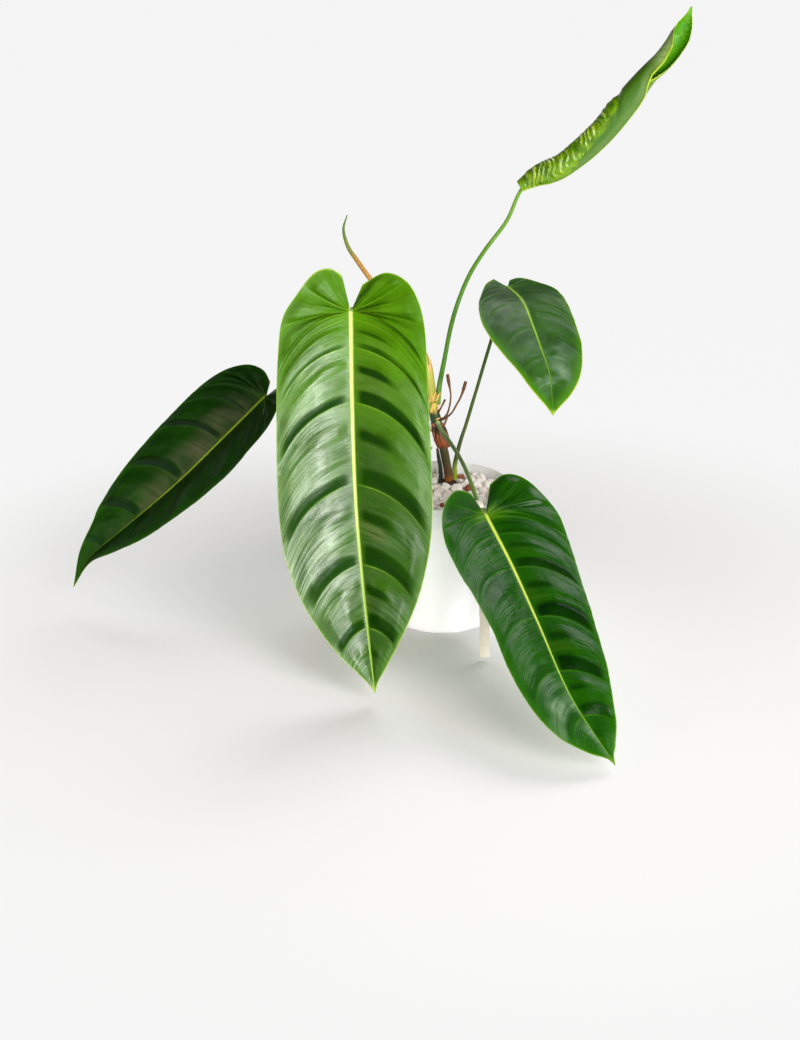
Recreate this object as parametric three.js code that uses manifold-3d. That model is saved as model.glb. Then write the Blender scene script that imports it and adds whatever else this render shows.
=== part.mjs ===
// A potted climbing philodendron: a white tapered pot filled with soil under a layer of pale
// pumice, and one short stem that carries five long heart-based leaves, a new leaf spike and
// dried aerial roots. Millimetres, +Z up. The origin is the centre of the pot's flat underside.
// X runs to the right of the front view and Y away from the viewer.

import * as THREE from "three";
import { mergeVertices } from "three/addons/utils/BufferGeometryUtils.js";
import Module from "manifold-3d";

const wasm = await Module();
wasm.setup();

// Driving dimensions

const clearance = 0.3; // between pieces that touch
const pot = {
  height: 150,
  footRadius: 59, // of the flat underside
  bodyRadius: 66.5, // where the rounded foot ends
  bodyHeight: 9,
  rimRadius: 76,
  wall: 2.6,
  floor: 4,
  corner: 8, // height of the inside corner over the floor
  sides: 48,
};
const soil = { top: 128.8, moundTop: 140.5, moundRadius: 13, moundAt: [8, 39], lumps: 9, lumpSize: 3.6 };
const gravel = { bedTop: 134.5, stoneLow: 136, stoneHigh: 139.5, rings: [7, 19.5, 32, 44, 55, 65] };
const pebble = { smallest: 5.8, largest: 7.8, spacing: 12.9, jitter: 0.35 };
const stone = { dent: 0.26, flatness: 0.86 };
const lavaStones = [
  { at: [29, 15], size: 6.6 },
  { at: [22.5, 54], size: 5.6 },
  { at: [-1, -33], size: 4.6 },
  { at: [-44, 22], size: 6.2 },
];
const blade = { thickness: 0.8, ribDepth: 2.4, ribWidth: 0.07 };

// The stem's axis, from inside the soil to the crown, and its radii at even steps along it
const stem = {
  path: [[11, 40, 84], [10, 39, 112], [8.5, 38, 139], [7.5, 37, 153], [4.5, 36, 168], [1, 34, 184],
    [-3, 32, 201], [-7, 30, 216], [-10.8, 30, 233.1]],
  radii: [1.5, 3.6, 4.6, 5, 5, 4.8, 4.6, 4.5, 4.6, 4.8, 5, 5.2, 5.6, 6, 5.4, 4.4],
};

// Each leaf: its midrib from the stalk to the tip, the direction across it, how far its halves
// fold up, and the margin as [along the midrib, out from it], from the notch to the tip.
const leaves = {
  leaf_front: {
    midrib: [[-92, -128, 372], [-91, -152, 292], [-88, -175, 199], [-81, -195, 114], [-70, -216, 11]],
    across: [1, 0, 0],
    fold: 14,
    relief: 2.8,
    right: [[-25, 12], [-35, 34], [-27, 54], [-7, 66], [22, 72], [75, 74], [150, 76], [210, 73],
      [262, 60], [305, 40], [345, 15], [360, 5]],
    left: [[-34, 8], [-40, 20], [-35, 35], [-16, 51], [6, 65], [38, 70], [100, 73], [180, 75],
      [228, 72], [275, 59], [320, 36], [350, 14], [362, 5]],
    columns: 6,
  },
  leaf_left: {
    midrib: [[-189, 8, 246], [-233, 8, 202], [-289, 5, 148], [-361, -2, 88], [-386, -5, 67], [-407, -13, 33]],
    across: [0.468, -0.776, -0.407],
    fold: 18,
    relief: 2.2,
    right: [[-20, 5], [-23, 20], [-12, 36], [9, 51], [41, 57], [75, 61], [115, 57], [158, 52],
      [205, 42], [250, 20], [285, 4]],
    left: [[-15, 8], [-17, 23], [-6, 41], [20, 57], [54, 64], [93, 65], [138, 62], [183, 54],
      [226, 38], [258, 20], [288, 7]],
    columns: 5,
  },
  leaf_right_low: {
    midrib: [[40, -125, 164], [63, -172, 131], [85, -232, 97], [112, -299, 52], [148, -346, 10]],
    across: [0.926, 0.378, 0],
    fold: 12,
    relief: 2.2,
    right: [[-32, 19], [-38, 36], [-31, 51], [-11, 61], [26, 68], [60, 64], [104, 57], [155, 50],
      [210, 42], [254, 26], [276, 11], [284, 4]],
    left: [[-28, 5], [-31, 22], [-12, 45], [20, 61], [62, 64], [104, 59], [145, 54], [190, 53],
      [222, 49], [250, 38], [272, 20], [284, 4]],
    columns: 5,
  },
  leaf_right_high: {
    midrib: [[70, 64, 352], [83, 30, 345], [91, -4, 329], [99, -32, 309], [106, -56, 289], [108, -84, 255]],
    across: [0.95, 0.32, 0],
    fold: 8,
    relief: 1.2,
    right: [[-13, 8], [-12, 21], [12, 34], [40, 43], [75, 45], [112, 43], [139, 35], [163, 21], [180, 6]],
    left: [[-20, 8], [0, 27], [36, 48], [70, 57], [94, 55], [119, 46], [156, 28], [180, 6]],
    columns: 4,
  },
};
// Side veins: where they leave the midrib, how many intervals run into each lobe from the notch,
// their slant, and where the rows of the blade lie in the interval from one vein to the next
const veins = { starts: [0.02, 0.09, 0.23, 0.44, 0.65, 0.82], inLobe: 3, slant: 1.1, rows: [0, 0.4, 0.78] };

// The youngest leaf is still rolled up: its axis, the roll's radius and each half's width
const rolledLeaf = {
  axis: [[78, 32, 463], [94, 30, 474], [117, 27, 484], [138, 24, 501], [157, 20, 520], [171, 16, 539],
    [185, 12, 557], [198, 8, 574], [211, 6, 588], [222, 4, 605], [229.5, 2, 622], [234, 0, 638]],
  radius: [[0, 7.2], [0.05, 10], [0.12, 12.4], [0.3, 14], [0.5, 14.2], [0.62, 13.2], [0.74, 11.8],
    [0.86, 10], [0.93, 7], [1, 3]],
  halfWidth: [[0, 21], [0.05, 36], [0.12, 52], [0.3, 59], [0.5, 60], [0.62, 55], [0.72, 46], [0.8, 33],
    [0.88, 17], [0.94, 6.5], [1, 0.8]],
  upperLeft: [-0.75, 0, 0.66],
  midribAngle: -70, // degrees from the upper left, turning towards the viewer
  tightness: 0.17, // how much smaller the roll is at its inner margin than at its outer one
  pleat: 1.2,
  pleatLength: 9.5,
  pleatReach: 0.62, // of the length
};

// Each stalk from its foot on the stem to just under its blade, with radii from foot to blade
const stalks = {
  stalk_front: {
    path: [[-14.6, 23.4, 229], [-27, 6, 262], [-50, -30, 318], [-76, -80, 360], [-90, -108, 369],
      [-92, -125, 371.2]],
    radii: [3.2, 2.7, 2.5, 2.5, 2.4, 2.4, 2.8],
  },
  stalk_left: {
    path: [[-14.9, 34.6, 222], [-52, 36, 258], [-104, 32, 279], [-150, 26, 268], [-178, 16, 249],
      [-187, 10.6, 243.4]],
    radii: [2.8, 2.3, 2.1, 2.1, 2.1, 2.1, 2.4],
  },
  stalk_right_low: {
    path: [[-5, 23.3, 212.4], [-0.5, 12, 206.5], [6, -4, 202], [15.5, -32, 195], [24, -64, 186],
      [33, -104, 170], [39, -122.6, 159.6]],
    radii: [2.5, 2.3, 2.1, 2.1, 2.1, 2.2, 2.4],
  },
  stalk_right_high: {
    path: [[15.5, 44, 139], [15.6, 45, 156], [17.5, 46, 167], [23, 49, 184], [28, 52, 198], [38, 57, 239],
      [53, 62, 292], [69.7, 64.6, 348.7]],
    radii: [2.9, 2.4, 2, 1.9, 1.8, 1.8, 1.8, 1.8, 1.9],
  },
  stalk_young: {
    path: [[-4.5, 36.2, 229], [-2.9, 36.5, 250], [2.4, 36, 280], [8.4, 36, 314], [17, 36, 345],
      [28, 35.5, 372], [43, 35, 397], [65, 34, 428], [76, 32.6, 454.6], [83, 31.4, 467]],
    radii: [3.2, 2.7, 2.4, 2.4, 2.3, 2.2, 2.1, 2, 1.8],
  },
};

const newSpike = {
  path: [[-11, 30, 233.4], [-14, 30, 253], [-19, 30, 280], [-32, 31, 306], [-46, 32, 326], [-63, 33, 349],
    [-78, 33, 369], [-92, 33, 389], [-99, 33, 400], [-104, 32, 419], [-100, 32, 434]],
  radii: [4, 4.6, 4.8, 4.9, 4.4, 3.6, 3, 2.7, 2.6, 2.5, 2.2, 1.5, 0.6],
};

// Dried aerial roots, and the live one that runs down into the soil
const dryRoots = {
  long: {
    path: [[-1.2, 25.5, 214.4], [9, 25, 221], [16, 24, 233], [21, 24, 245], [25, 24, 258]],
    radii: [1.7, 1.2, 1, 1, 1, 1.2, 1.9, 1.7],
  },
  upright: {
    path: [[1, 26.3, 214.5], [5, 25, 221], [8, 24, 232], [9, 24, 243], [7, 24, 255], [5.5, 24, 266]],
    radii: [1.5, 1.1, 1, 1, 1, 1.2, 1.9, 1.7],
  },
  stub: {
    path: [[6, 25.5, 219], [4, 25, 213], [1.5, 24.5, 206]],
    radii: [1.1, 1.1, 0.9],
  },
};
const shortRoot = { path: [[-3.9, 25.6, 223.5], [-1, 24.6, 229], [3, 24, 238]], radii: [1.1, 1, 1.3] };
const liveRoot = {
  path: [[-1, 41, 122], [-0.4, 39, 141], [-0.6, 36.5, 150], [-1.4, 34, 160], [-3.4, 32.5, 170],
    [-4.6, 32.4, 179.3]],
  radii: [1.2, 2.2, 2.4, 2.5, 2.4, 2.1, 1.4],
};

// Brown fibres of old sheaths wrapped round the stem, and papery ones round the crown: the angles
// run round the stem from the right, and reach is the radius at the middle and at the ends
const oldSheath = { low: 181, high: 209, thickness: 1, turn: [-160, 160], reach: [8.6, 7], tear: 3 };
const paperSheath = { low: 236, high: 292, thickness: 0.8, turn: [-110, 50], reach: [6.1, 6.1], tear: 16 };

// The strip label: a foot, a straight rise that turns on itself, and a loop round a stalk
const label = {
  width: 10.5,
  thickness: 0.8,
  foot: [42.5, -124, 4],
  bow: 2.5,
  twistFrom: 40,
  twistTo: 118,
  hungAt: 0.9, // along the stalk
  loopRadius: 6.4,
  loopRoom: 0.6, // the free end lies this much inside the rise
};

const colours = {
  pot: 0xf2f2f1,
  soil: 0x3a2a20,
  gravel: 0xe4ddd3,
  lava: 0x8f4a3a,
  stem: 0x6b6a3f,
  leaf: 0x2f6b22,
  darkLeaf: 0x1e4a1c,
  youngLeaf: 0x5f9a34,
  stalk: 0x5d8a45,
  bud: 0xc9a25a,
  bark: 0x8a5440,
  dryRoot: 0x7a5238,
  liveRoot: 0x4c5546,
  paper: 0xd9c08a,
  label: 0xd8d2c4,
};

// Small helpers

const degrees = Math.PI / 180;
const mergeDistance = 2e-3;

function vector(p) {
  return new THREE.Vector3(p[0], p[1], p[2]);
}

function curveThrough(points) {
  const curve = new THREE.CatmullRomCurve3(points.map(vector), false, "centripetal");
  curve.arcLengthDivisions = 600;
  return curve;
}

// Straight-line interpolation in a list of [x, y] pairs
function lookUp(pairs, x) {
  const last = pairs.length - 1;
  if (x <= pairs[0][0]) return pairs[0][1];
  for (let i = 1; i <= last; i++) {
    if (x <= pairs[i][0]) {
      const [x0, y0] = pairs[i - 1];
      const [x1, y1] = pairs[i];
      return y0 + ((y1 - y0) * (x - x0)) / (x1 - x0);
    }
  }
  return pairs[last][1];
}

// Values at even steps from 0 to 1, as a function of the way along
function evenly(values) {
  return (u) => lookUp(values.map((v, i) => [i / (values.length - 1), v]), u);
}

// A seeded source of numbers from 0 to 1
function seeded(seed) {
  let state = seed;
  return () => {
    state = (Math.imul(state, 1664525) + 1013904223) >>> 0;
    return state / 4294967296;
  };
}

// An indexed geometry from points and corner triples, with coinciding points merged. A thin
// sheet also has a depth at each point.
function geometryOf(points, triangles, depths) {
  const loose = new THREE.BufferGeometry();
  const numbers = points.flatMap((p) => [p.x, p.y, p.z]);
  loose.setAttribute("position", new THREE.Float32BufferAttribute(numbers, 3));
  if (depths) loose.setAttribute("depth", new THREE.Float32BufferAttribute(depths, 1));
  loose.setIndex(triangles.flat());
  const merged = mergeVertices(loose, mergeDistance);
  const index = merged.index.array;
  const kept = [];
  for (let i = 0; i < index.length; i += 3) {
    const [a, b, c] = [index[i], index[i + 1], index[i + 2]];
    if (a !== b && b !== c && c !== a) kept.push(a, b, c);
  }
  merged.setIndex(kept);
  merged.computeVertexNormals();
  return merged;
}

// A round tapered piece along a curve, closed at both ends
function sweep(piece, sides, steps) {
  const path = curveThrough(piece.path);
  const radiusAt = evenly(piece.radii);
  const frames = path.computeFrenetFrames(steps, false);
  const points = [];
  const triangles = [];
  for (let i = 0; i <= steps; i++) {
    const centre = path.getPointAt(i / steps);
    const radius = radiusAt(i / steps);
    for (let k = 0; k < sides; k++) {
      const angle = (2 * Math.PI * k) / sides;
      const onRing = centre.clone();
      onRing.addScaledVector(frames.normals[i], radius * Math.cos(angle));
      onRing.addScaledVector(frames.binormals[i], radius * Math.sin(angle));
      points.push(onRing);
      const next = (k + 1) % sides;
      if (i === steps) continue;
      const low = i * sides;
      const high = low + sides;
      triangles.push([low + k, low + next, high + next], [low + k, high + next, high + k]);
    }
  }
  const end = steps * sides;
  for (let k = 1; k < sides - 1; k++) {
    triangles.push([0, k + 1, k], [end, end + k, end + k + 1]);
  }
  return geometryOf(points, triangles);
}

// A thin closed body from one open sheet of triangles: the same triangles on both faces, moved
// apart along the sheet's own normals, and a rim along every free edge.
function thicken(points, triangles, above, depths) {
  const sheet = geometryOf(points, triangles, depths);
  const { position, normal, depth } = sheet.attributes;
  const upper = [];
  const lower = [];
  for (let i = 0; i < position.count; i++) {
    const point = new THREE.Vector3().fromBufferAttribute(position, i);
    const outward = new THREE.Vector3().fromBufferAttribute(normal, i);
    upper.push(point.clone().addScaledVector(outward, above));
    lower.push(point.clone().addScaledVector(outward, -depth.getX(i)));
  }
  const shift = position.count;
  const faces = [];
  const freeEdges = new Map();
  for (const corners of triplesOf(sheet)) {
    faces.push(corners, corners.map((c) => c + shift).reverse());
    corners.forEach((a, k) => {
      const b = corners[(k + 1) % 3];
      if (freeEdges.has(b + " " + a)) freeEdges.delete(b + " " + a);
      else freeEdges.set(a + " " + b, [a, b]);
    });
  }
  for (const [a, b] of freeEdges.values()) {
    faces.push([b, a, a + shift], [b, a + shift, b + shift]);
  }
  return geometryOf([...upper, ...lower], faces);
}

// A grid of points as corner triples, row by row; flip turns the faces round
function gridTriangles(rows, columns, flip) {
  const triangles = [];
  for (let i = 0; i < rows; i++) {
    for (let j = 0; j < columns; j++) {
      const a = i * (columns + 1) + j;
      const b = a + 1;
      const c = a + columns + 2;
      const d = a + columns + 1;
      if (flip) triangles.push([a, c, b], [a, d, c]);
      else triangles.push([a, b, c], [a, c, d]);
    }
  }
  return triangles;
}

// Solids for cutting and joining

function solidOf(geometry) {
  return new wasm.Manifold(new wasm.Mesh({
    numProp: 3,
    vertProperties: new Float32Array(geometry.attributes.position.array),
    triVerts: new Uint32Array(geometry.index.array),
  }));
}

function geometryOfSolid(solid) {
  const mesh = solid.getMesh();
  const points = [];
  for (let i = 0; i < mesh.numVert; i++) {
    points.push(vector(mesh.vertProperties.subarray(i * mesh.numProp, i * mesh.numProp + 3)));
  }
  const triangles = [];
  for (let i = 0; i < mesh.numTri; i++) triangles.push([...mesh.triVerts.subarray(3 * i, 3 * i + 3)]);
  return geometryOf(points, triangles);
}

// A closed profile of [radius, height] turned round the upright axis
function turned(profile, sides) {
  const lathe = new THREE.LatheGeometry(profile.map((p) => new THREE.Vector2(p[0], p[1])), sides);
  lathe.rotateX(Math.PI / 2);
  return geometryOf(pointsOf(lathe), triplesOf(lathe));
}

function pointsOf(geometry) {
  const position = geometry.attributes.position;
  const points = [];
  for (let i = 0; i < position.count; i++) {
    points.push(new THREE.Vector3().fromBufferAttribute(position, i));
  }
  return points;
}

function triplesOf(geometry) {
  const corners = Array.from(geometry.index.array);
  return Array.from({ length: corners.length / 3 }, (_, i) => corners.slice(3 * i, 3 * i + 3));
}

// A broken stone: a 20-sided ball with its corners pushed in by chance
function stoneGeometry(size, centre, random) {
  const ball = new THREE.IcosahedronGeometry(size, 0);
  ball.deleteAttribute("normal");
  ball.deleteAttribute("uv");
  const shared = mergeVertices(ball, mergeDistance);
  shared.rotateX(6 * random());
  shared.rotateZ(6 * random());
  const points = pointsOf(shared).map((p) => {
    p.multiplyScalar(1 - stone.dent * random());
    p.z *= stone.flatness;
    return p.add(centre);
  });
  return geometryOf(points, triplesOf(shared));
}

// The pot, its filling and the stones on top

function outerRadius(z) {
  const share = (z - pot.bodyHeight) / (pot.height - pot.bodyHeight);
  return pot.bodyRadius + share * (pot.rimRadius - pot.bodyRadius);
}

function innerRadius(z) {
  return outerRadius(z) - pot.wall;
}

function potGeometry() {
  const profile = [[0, 0], [pot.footRadius, 0]];
  for (const turn of [22, 45, 68]) {
    const r = pot.footRadius + (pot.bodyRadius - pot.footRadius) * Math.sin(turn * degrees);
    profile.push([r, pot.bodyHeight * (1 - Math.cos(turn * degrees))]);
  }
  profile.push([pot.bodyRadius, pot.bodyHeight]);
  const lip = pot.wall / 2;
  for (const turn of [0, 45, 90, 135, 180]) {
    const r = pot.rimRadius - lip + lip * Math.cos(turn * degrees);
    profile.push([r, pot.height - lip + lip * Math.sin(turn * degrees)]);
  }
  const cornerTop = pot.floor + pot.corner;
  profile.push([innerRadius(cornerTop), cornerTop], [pot.footRadius - 1, pot.floor], [0, pot.floor]);
  return turned(profile, pot.sides);
}

// The plain holes for what stands in the soil, a little wider than the piece itself
function plantHoles() {
  const room = clearance + 0.1;
  return [stem, liveRoot, stalks.stalk_right_high].map((piece) => {
    const [x, y, z] = piece.path[0];
    const path = [[x, y, z - clearance], ...piece.path.slice(1)];
    return solidOf(sweep({ path, radii: piece.radii.map((r) => r + room) }, 10, 16));
  });
}

// The soil with a crumbly mound where the plant comes up
function soilGeometry(random) {
  const low = pot.floor + clearance;
  const cornerTop = pot.floor + pot.corner + 1;
  let body = solidOf(turned([
    [0, low],
    [pot.footRadius - 2, low],
    [innerRadius(cornerTop) - clearance, cornerTop],
    [innerRadius(soil.top) - clearance, soil.top],
    [0, soil.top],
  ], pot.sides));
  const [x, y] = soil.moundAt;
  const mound = turned([
    [0, soil.top - 2],
    [soil.moundRadius, soil.top - 2],
    [soil.moundRadius - 1, soil.moundTop - 3],
    [soil.moundRadius - 5, soil.moundTop],
    [0, soil.moundTop],
  ], 14);
  body = body.add(solidOf(mound.translate(x, y, 0)));
  const reach = soil.moundRadius - soil.lumpSize - 1;
  for (let k = 0; k < soil.lumps; k++) {
    const turn = (k / soil.lumps) * 2 * Math.PI;
    const height = soil.moundTop - 1.6 + random();
    const centre = new THREE.Vector3(x + reach * Math.cos(turn), y + reach * Math.sin(turn), height);
    body = body.add(solidOf(stoneGeometry(soil.lumpSize + random(), centre, random)));
  }
  for (const hole of plantHoles()) body = body.subtract(hole);
  return geometryOfSolid(body);
}

// Places for the pale stones on rings round the pot's axis, each one shifted a little
function stonePlaces(random) {
  const places = [];
  for (const ring of gravel.rings) {
    const count = Math.round((2 * Math.PI * ring) / pebble.spacing);
    const start = 2 * Math.PI * random();
    for (let k = 0; k < count; k++) {
      const turn = start + (2 * Math.PI * (k + pebble.jitter * (random() - 0.5))) / count;
      const reach = ring + 0.13 * pebble.spacing * (random() - 0.5);
      places.push([reach * Math.cos(turn), reach * Math.sin(turn)]);
    }
  }
  return places;
}

function distance(a, b) {
  return Math.hypot(a[0] - b[0], a[1] - b[1]);
}

// One dark stone, grown on every side by the room asked for
function lavaGeometry(lava, index, room) {
  const shape = stoneGeometry(lava.size, new THREE.Vector3(), seeded(900 + index));
  const leastRadius = 0.5 * lava.size;
  const growth = 1 + room / leastRadius;
  shape.scale(growth, growth, growth);
  return shape.translate(lava.at[0], lava.at[1], gravel.bedTop + 0.75 * lava.size);
}

// The pale stones on one bed, open round the mound and at each dark stone
function gravelGeometry(random) {
  const low = soil.top + clearance;
  const edge = innerRadius(low) - 1.6 * clearance;
  let body = solidOf(turned([[0, low], [edge, low], [edge, gravel.bedTop], [0, gravel.bedTop]], pot.sides));
  for (const place of stonePlaces(random)) {
    const size = pebble.smallest + (pebble.largest - pebble.smallest) * random();
    const height = gravel.stoneLow + (gravel.stoneHigh - gravel.stoneLow) * random();
    if (distance(place, soil.moundAt) < soil.moundRadius + 2) continue;
    if (lavaStones.some((lava) => distance(place, lava.at) < lava.size + 1)) continue;
    const reach = Math.min(1, (innerRadius(height) - clearance - 0.9 * size) / Math.hypot(...place));
    const centre = new THREE.Vector3(place[0] * reach, place[1] * reach, height);
    body = body.add(solidOf(stoneGeometry(size, centre, random)));
  }
  const [x, y] = soil.moundAt;
  const clear = soil.moundRadius + 2 * clearance;
  const holeTop = pot.height + 10;
  const hole = turned([[0, low - 5], [clear, low - 5], [clear, holeTop], [0, holeTop]], 14);
  body = body.subtract(solidOf(hole.translate(x, y, 0)));
  lavaStones.forEach((lava, i) => {
    body = body.subtract(solidOf(lavaGeometry(lava, i, clearance)));
  });
  const largest = body.decompose().sort((a, b) => b.volume() - a.volume())[0];
  return geometryOfSolid(largest);
}

// Leaf blades

// The margin of one half as [along, out] at a fine step, where each place's vein leaves the
// midrib (below 0 it leaves from the notch), and how far along the margin it is
function marginOf(side, length) {
  const outline = new THREE.SplineCurve([...side, [length, 0]].map((p) => new THREE.Vector2(p[0], p[1])));
  const places = outline.getSpacedPoints(500);
  return places.map((p) => ({ along: p.x, out: p.y, start: p.x - veins.slant * p.y }));
}

// The rows that cross one half: the vein start on the midrib, the place on the margin, and how
// far the row lies between two veins
function bladeRows(side, length) {
  const margin = marginOf(side, length);
  const firstOnRib = margin.findIndex((p) => p.start > 0);
  const rows = [];
  for (let k = 0; k < veins.inLobe; k++) {
    for (const phase of veins.rows) {
      const at = margin[Math.round(((k + phase) / veins.inLobe) * firstOnRib)];
      rows.push({ start: 0, along: at.along, out: at.out, phase });
    }
  }
  const starts = [0, ...veins.starts, 1];
  for (let k = 0; k < starts.length - 1; k++) {
    for (const phase of veins.rows) {
      const start = length * (starts[k] + (starts[k + 1] - starts[k]) * phase);
      const at = margin.find((p) => p.start >= start);
      if (k + phase > 0) rows.push({ start, along: at.along, out: at.out, phase });
    }
  }
  return rows;
}

// A heart-based blade: each row is a curve from the midrib or the notch out to the margin, and the
// surface bulges between the veins
function leafBlade(leaf) {
  const midrib = curveThrough(leaf.midrib);
  const length = midrib.getLength();
  const across = vector(leaf.across).normalize();
  const widest = Math.max(...leaf.right.map((p) => p[1]));

  // The point at a distance along the midrib and out from it, raised by the fold and the relief
  function place(along, out, side, lift) {
    const u = THREE.MathUtils.clamp(along / length, 0, 1);
    const point = midrib.getPointAt(u);
    const tangent = midrib.getTangentAt(u);
    const sideways = across.clone().addScaledVector(tangent, -across.dot(tangent)).normalize();
    const up = new THREE.Vector3().crossVectors(tangent, sideways);
    point.addScaledVector(tangent, along - u * length);
    const slope = Math.sin(leaf.fold * degrees);
    const raised = out * slope * (1.5 - (0.5 * out) / widest);
    point.addScaledVector(sideways, side * out * Math.cos(leaf.fold * degrees));
    return point.addScaledVector(up, raised + lift);
  }

  const points = [];
  const triangles = [];
  const below = [];
  const columns = leaf.columns;
  for (const [side, margin] of [[1, leaf.right], [-1, leaf.left]]) {
    const rows = bladeRows(margin, length);
    const first = points.length;
    for (const row of rows) {
      for (let j = 0; j <= columns; j++) {
        const t = j === 0 ? 0 : blade.ribWidth + ((1 - blade.ribWidth) * (j - 1)) / (columns - 1);
        const bend = 0.25 * (row.along - row.start);
        const along = (1 - t) ** 2 * row.start + 2 * t * (1 - t) * (row.start + bend) + t ** 2 * row.along;
        const out = 2 * t * (1 - t) * 0.55 * row.out + t ** 2 * row.out;
        const crest = Math.sin(Math.PI * row.phase ** 1.6) ** 0.8;
        const fade = Math.min(1, row.out / 30);
        points.push(place(along, out, side, leaf.relief * fade * crest * Math.sin(Math.PI * t ** 0.7)));
        const ribDepth = blade.ribDepth * (1 - row.start / length);
        below.push(blade.thickness / 2 + (j === 0 ? ribDepth : 0));
      }
    }
    for (const triple of gridTriangles(rows.length - 1, columns, side > 0)) {
      triangles.push(triple.map((i) => i + first));
    }
    const lastRow = points.length - columns - 1;
    for (let j = 0; j < columns; j++) {
      const [a, b, tip] = [lastRow + j, lastRow + j + 1, points.length];
      triangles.push(side > 0 ? [a, tip, b] : [a, b, tip]);
    }
    points.push(place(length, 0, side, 0));
    below.push(blade.thickness / 2);
  }
  return thicken(points, triangles, blade.thickness / 2, below);
}

// The rolled leaf: a sheet wound once and more round its axis, with crumpled pleats on the outer
// half that fade out towards the tip
function rolledBlade(leaf) {
  const axis = curveThrough(leaf.axis);
  const length = axis.getLength();
  const rows = 42;
  const columns = 14;
  const upperLeft = vector(leaf.upperLeft);
  const points = [];
  for (let i = 0; i <= rows; i++) {
    const s = i / rows;
    const centre = axis.getPointAt(s);
    const tangent = axis.getTangentAt(s);
    const up = upperLeft.clone().addScaledVector(tangent, -upperLeft.dot(tangent)).normalize();
    const front = new THREE.Vector3().crossVectors(up, tangent).normalize();
    const radius = lookUp(leaf.radius, s);
    const half = lookUp(leaf.halfWidth, s);
    const pleatEnd = Math.sin(Math.PI * Math.min(1, s / leaf.pleatReach));
    for (let j = 0; j <= columns; j++) {
      const share = (2 * j) / columns - 1; // from the inner margin to the outer one
      const turn = leaf.midribAngle * degrees + (share * half) / radius;
      const crumple = share > -0.2 ? leaf.pleat * pleatEnd * Math.max(0, Math.cos(turn - 0.6)) : 0;
      const wave = Math.sin((2 * Math.PI * s * length) / leaf.pleatLength + 1.5 * turn);
      const winding = 1 + leaf.tightness * (share - 1) * Math.min(1, half / 30);
      const reach = radius * winding + crumple * wave;
      const point = centre.clone();
      point.addScaledVector(up, reach * Math.cos(turn));
      point.addScaledVector(front, reach * Math.sin(turn));
      points.push(point);
    }
  }
  const half = blade.thickness / 2;
  return thicken(points, gridTriangles(rows, columns, false), half, points.map(() => half));
}

// A torn sheath: a sheet wrapped part of the way round a stem or a spike
function wrap(around, sheath) {
  const samples = curveThrough(around.path).getSpacedPoints(200);
  const rows = 5;
  const columns = 10;
  const [middle, end] = sheath.reach;
  const points = [];
  for (let i = 0; i <= rows; i++) {
    for (let j = 0; j <= columns; j++) {
      const turn = (sheath.turn[0] + ((sheath.turn[1] - sheath.turn[0]) * j) / columns) * degrees;
      const top = sheath.high - sheath.tear * Math.abs(Math.sin(2.6 * turn + 1));
      const z = sheath.low + ((top - sheath.low) * i) / rows;
      const centre = samples.reduce((best, p) => (Math.abs(p.z - z) < Math.abs(best.z - z) ? p : best));
      const ripple = 0.35 * Math.sin(5 * turn + i);
      const reach = end + (middle - end) * Math.sin((Math.PI * i) / rows) + ripple;
      points.push(new THREE.Vector3(centre.x + reach * Math.cos(turn), centre.y + reach * Math.sin(turn), z));
    }
  }
  const half = sheath.thickness / 2;
  return thicken(points, gridTriangles(rows, columns, false), half, points.map(() => half));
}

// The strip label: up from its free end, turning towards the stalk, and once round it
function labelGeometry() {
  const piece = stalks.stalk_right_low;
  const stalk = curveThrough(piece.path);
  const along = stalk.getTangentAt(label.hungAt);
  const down = new THREE.Vector3(0, 0, -1).addScaledVector(along, along.z).normalize();
  const aside = new THREE.Vector3().crossVectors(down, along);
  const hang = label.loopRadius - evenly(piece.radii)(label.hungAt) - clearance - label.thickness / 2;
  const centre = stalk.getPointAt(label.hungAt).addScaledVector(down, hang);
  const foot = vector(label.foot);
  const neck = centre.clone().addScaledVector(down, label.loopRadius + label.loopRoom);
  const upright = new THREE.Vector3(1, 0.1, 0).normalize();
  const hung = along.clone().negate();
  const middle = [];
  const widths = [];
  const rise = 12;
  for (let i = 0; i <= rise; i++) {
    const point = foot.clone().lerp(neck, i / rise);
    point.x += label.bow * Math.sin((Math.PI * i) / rise);
    middle.push(point);
    const twist = THREE.MathUtils.smoothstep(point.z, label.twistFrom, label.twistTo);
    widths.push(upright.clone().lerp(hung, twist).normalize());
  }
  const around = 16;
  for (let k = 1; k < around; k++) {
    const turn = (2 * Math.PI * k) / around;
    const reach = label.loopRadius + label.loopRoom * (1 - k / around);
    const point = centre.clone().addScaledVector(down, reach * Math.cos(turn));
    middle.push(point.addScaledVector(aside, reach * Math.sin(turn)));
    widths.push(hung);
  }
  return ribbon(middle, widths, label.width, label.thickness);
}

// A flat strip along a row of points, with its width direction given at each
function ribbon(middle, widths, width, thickness) {
  const points = [];
  middle.forEach((point, i) => {
    const following = middle[Math.min(i + 1, middle.length - 1)];
    const before = middle[Math.max(i - 1, 0)];
    const ahead = following.clone().sub(before).normalize();
    const side = widths[i].clone().addScaledVector(ahead, -widths[i].dot(ahead)).normalize();
    points.push(point.clone().addScaledVector(side, -width / 2));
    points.push(point.clone().addScaledVector(side, width / 2));
  });
  const half = thickness / 2;
  return thicken(points, gridTriangles(middle.length - 1, 1, false), half, points.map(() => half));
}

// The whole object

const plant = new THREE.Group();

function addPiece(name, geometry, colour, roughness) {
  const material = new THREE.MeshStandardMaterial({ color: colour, roughness, metalness: 0 });
  const mesh = new THREE.Mesh(geometry, material);
  mesh.name = name;
  plant.add(mesh);
}

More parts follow.
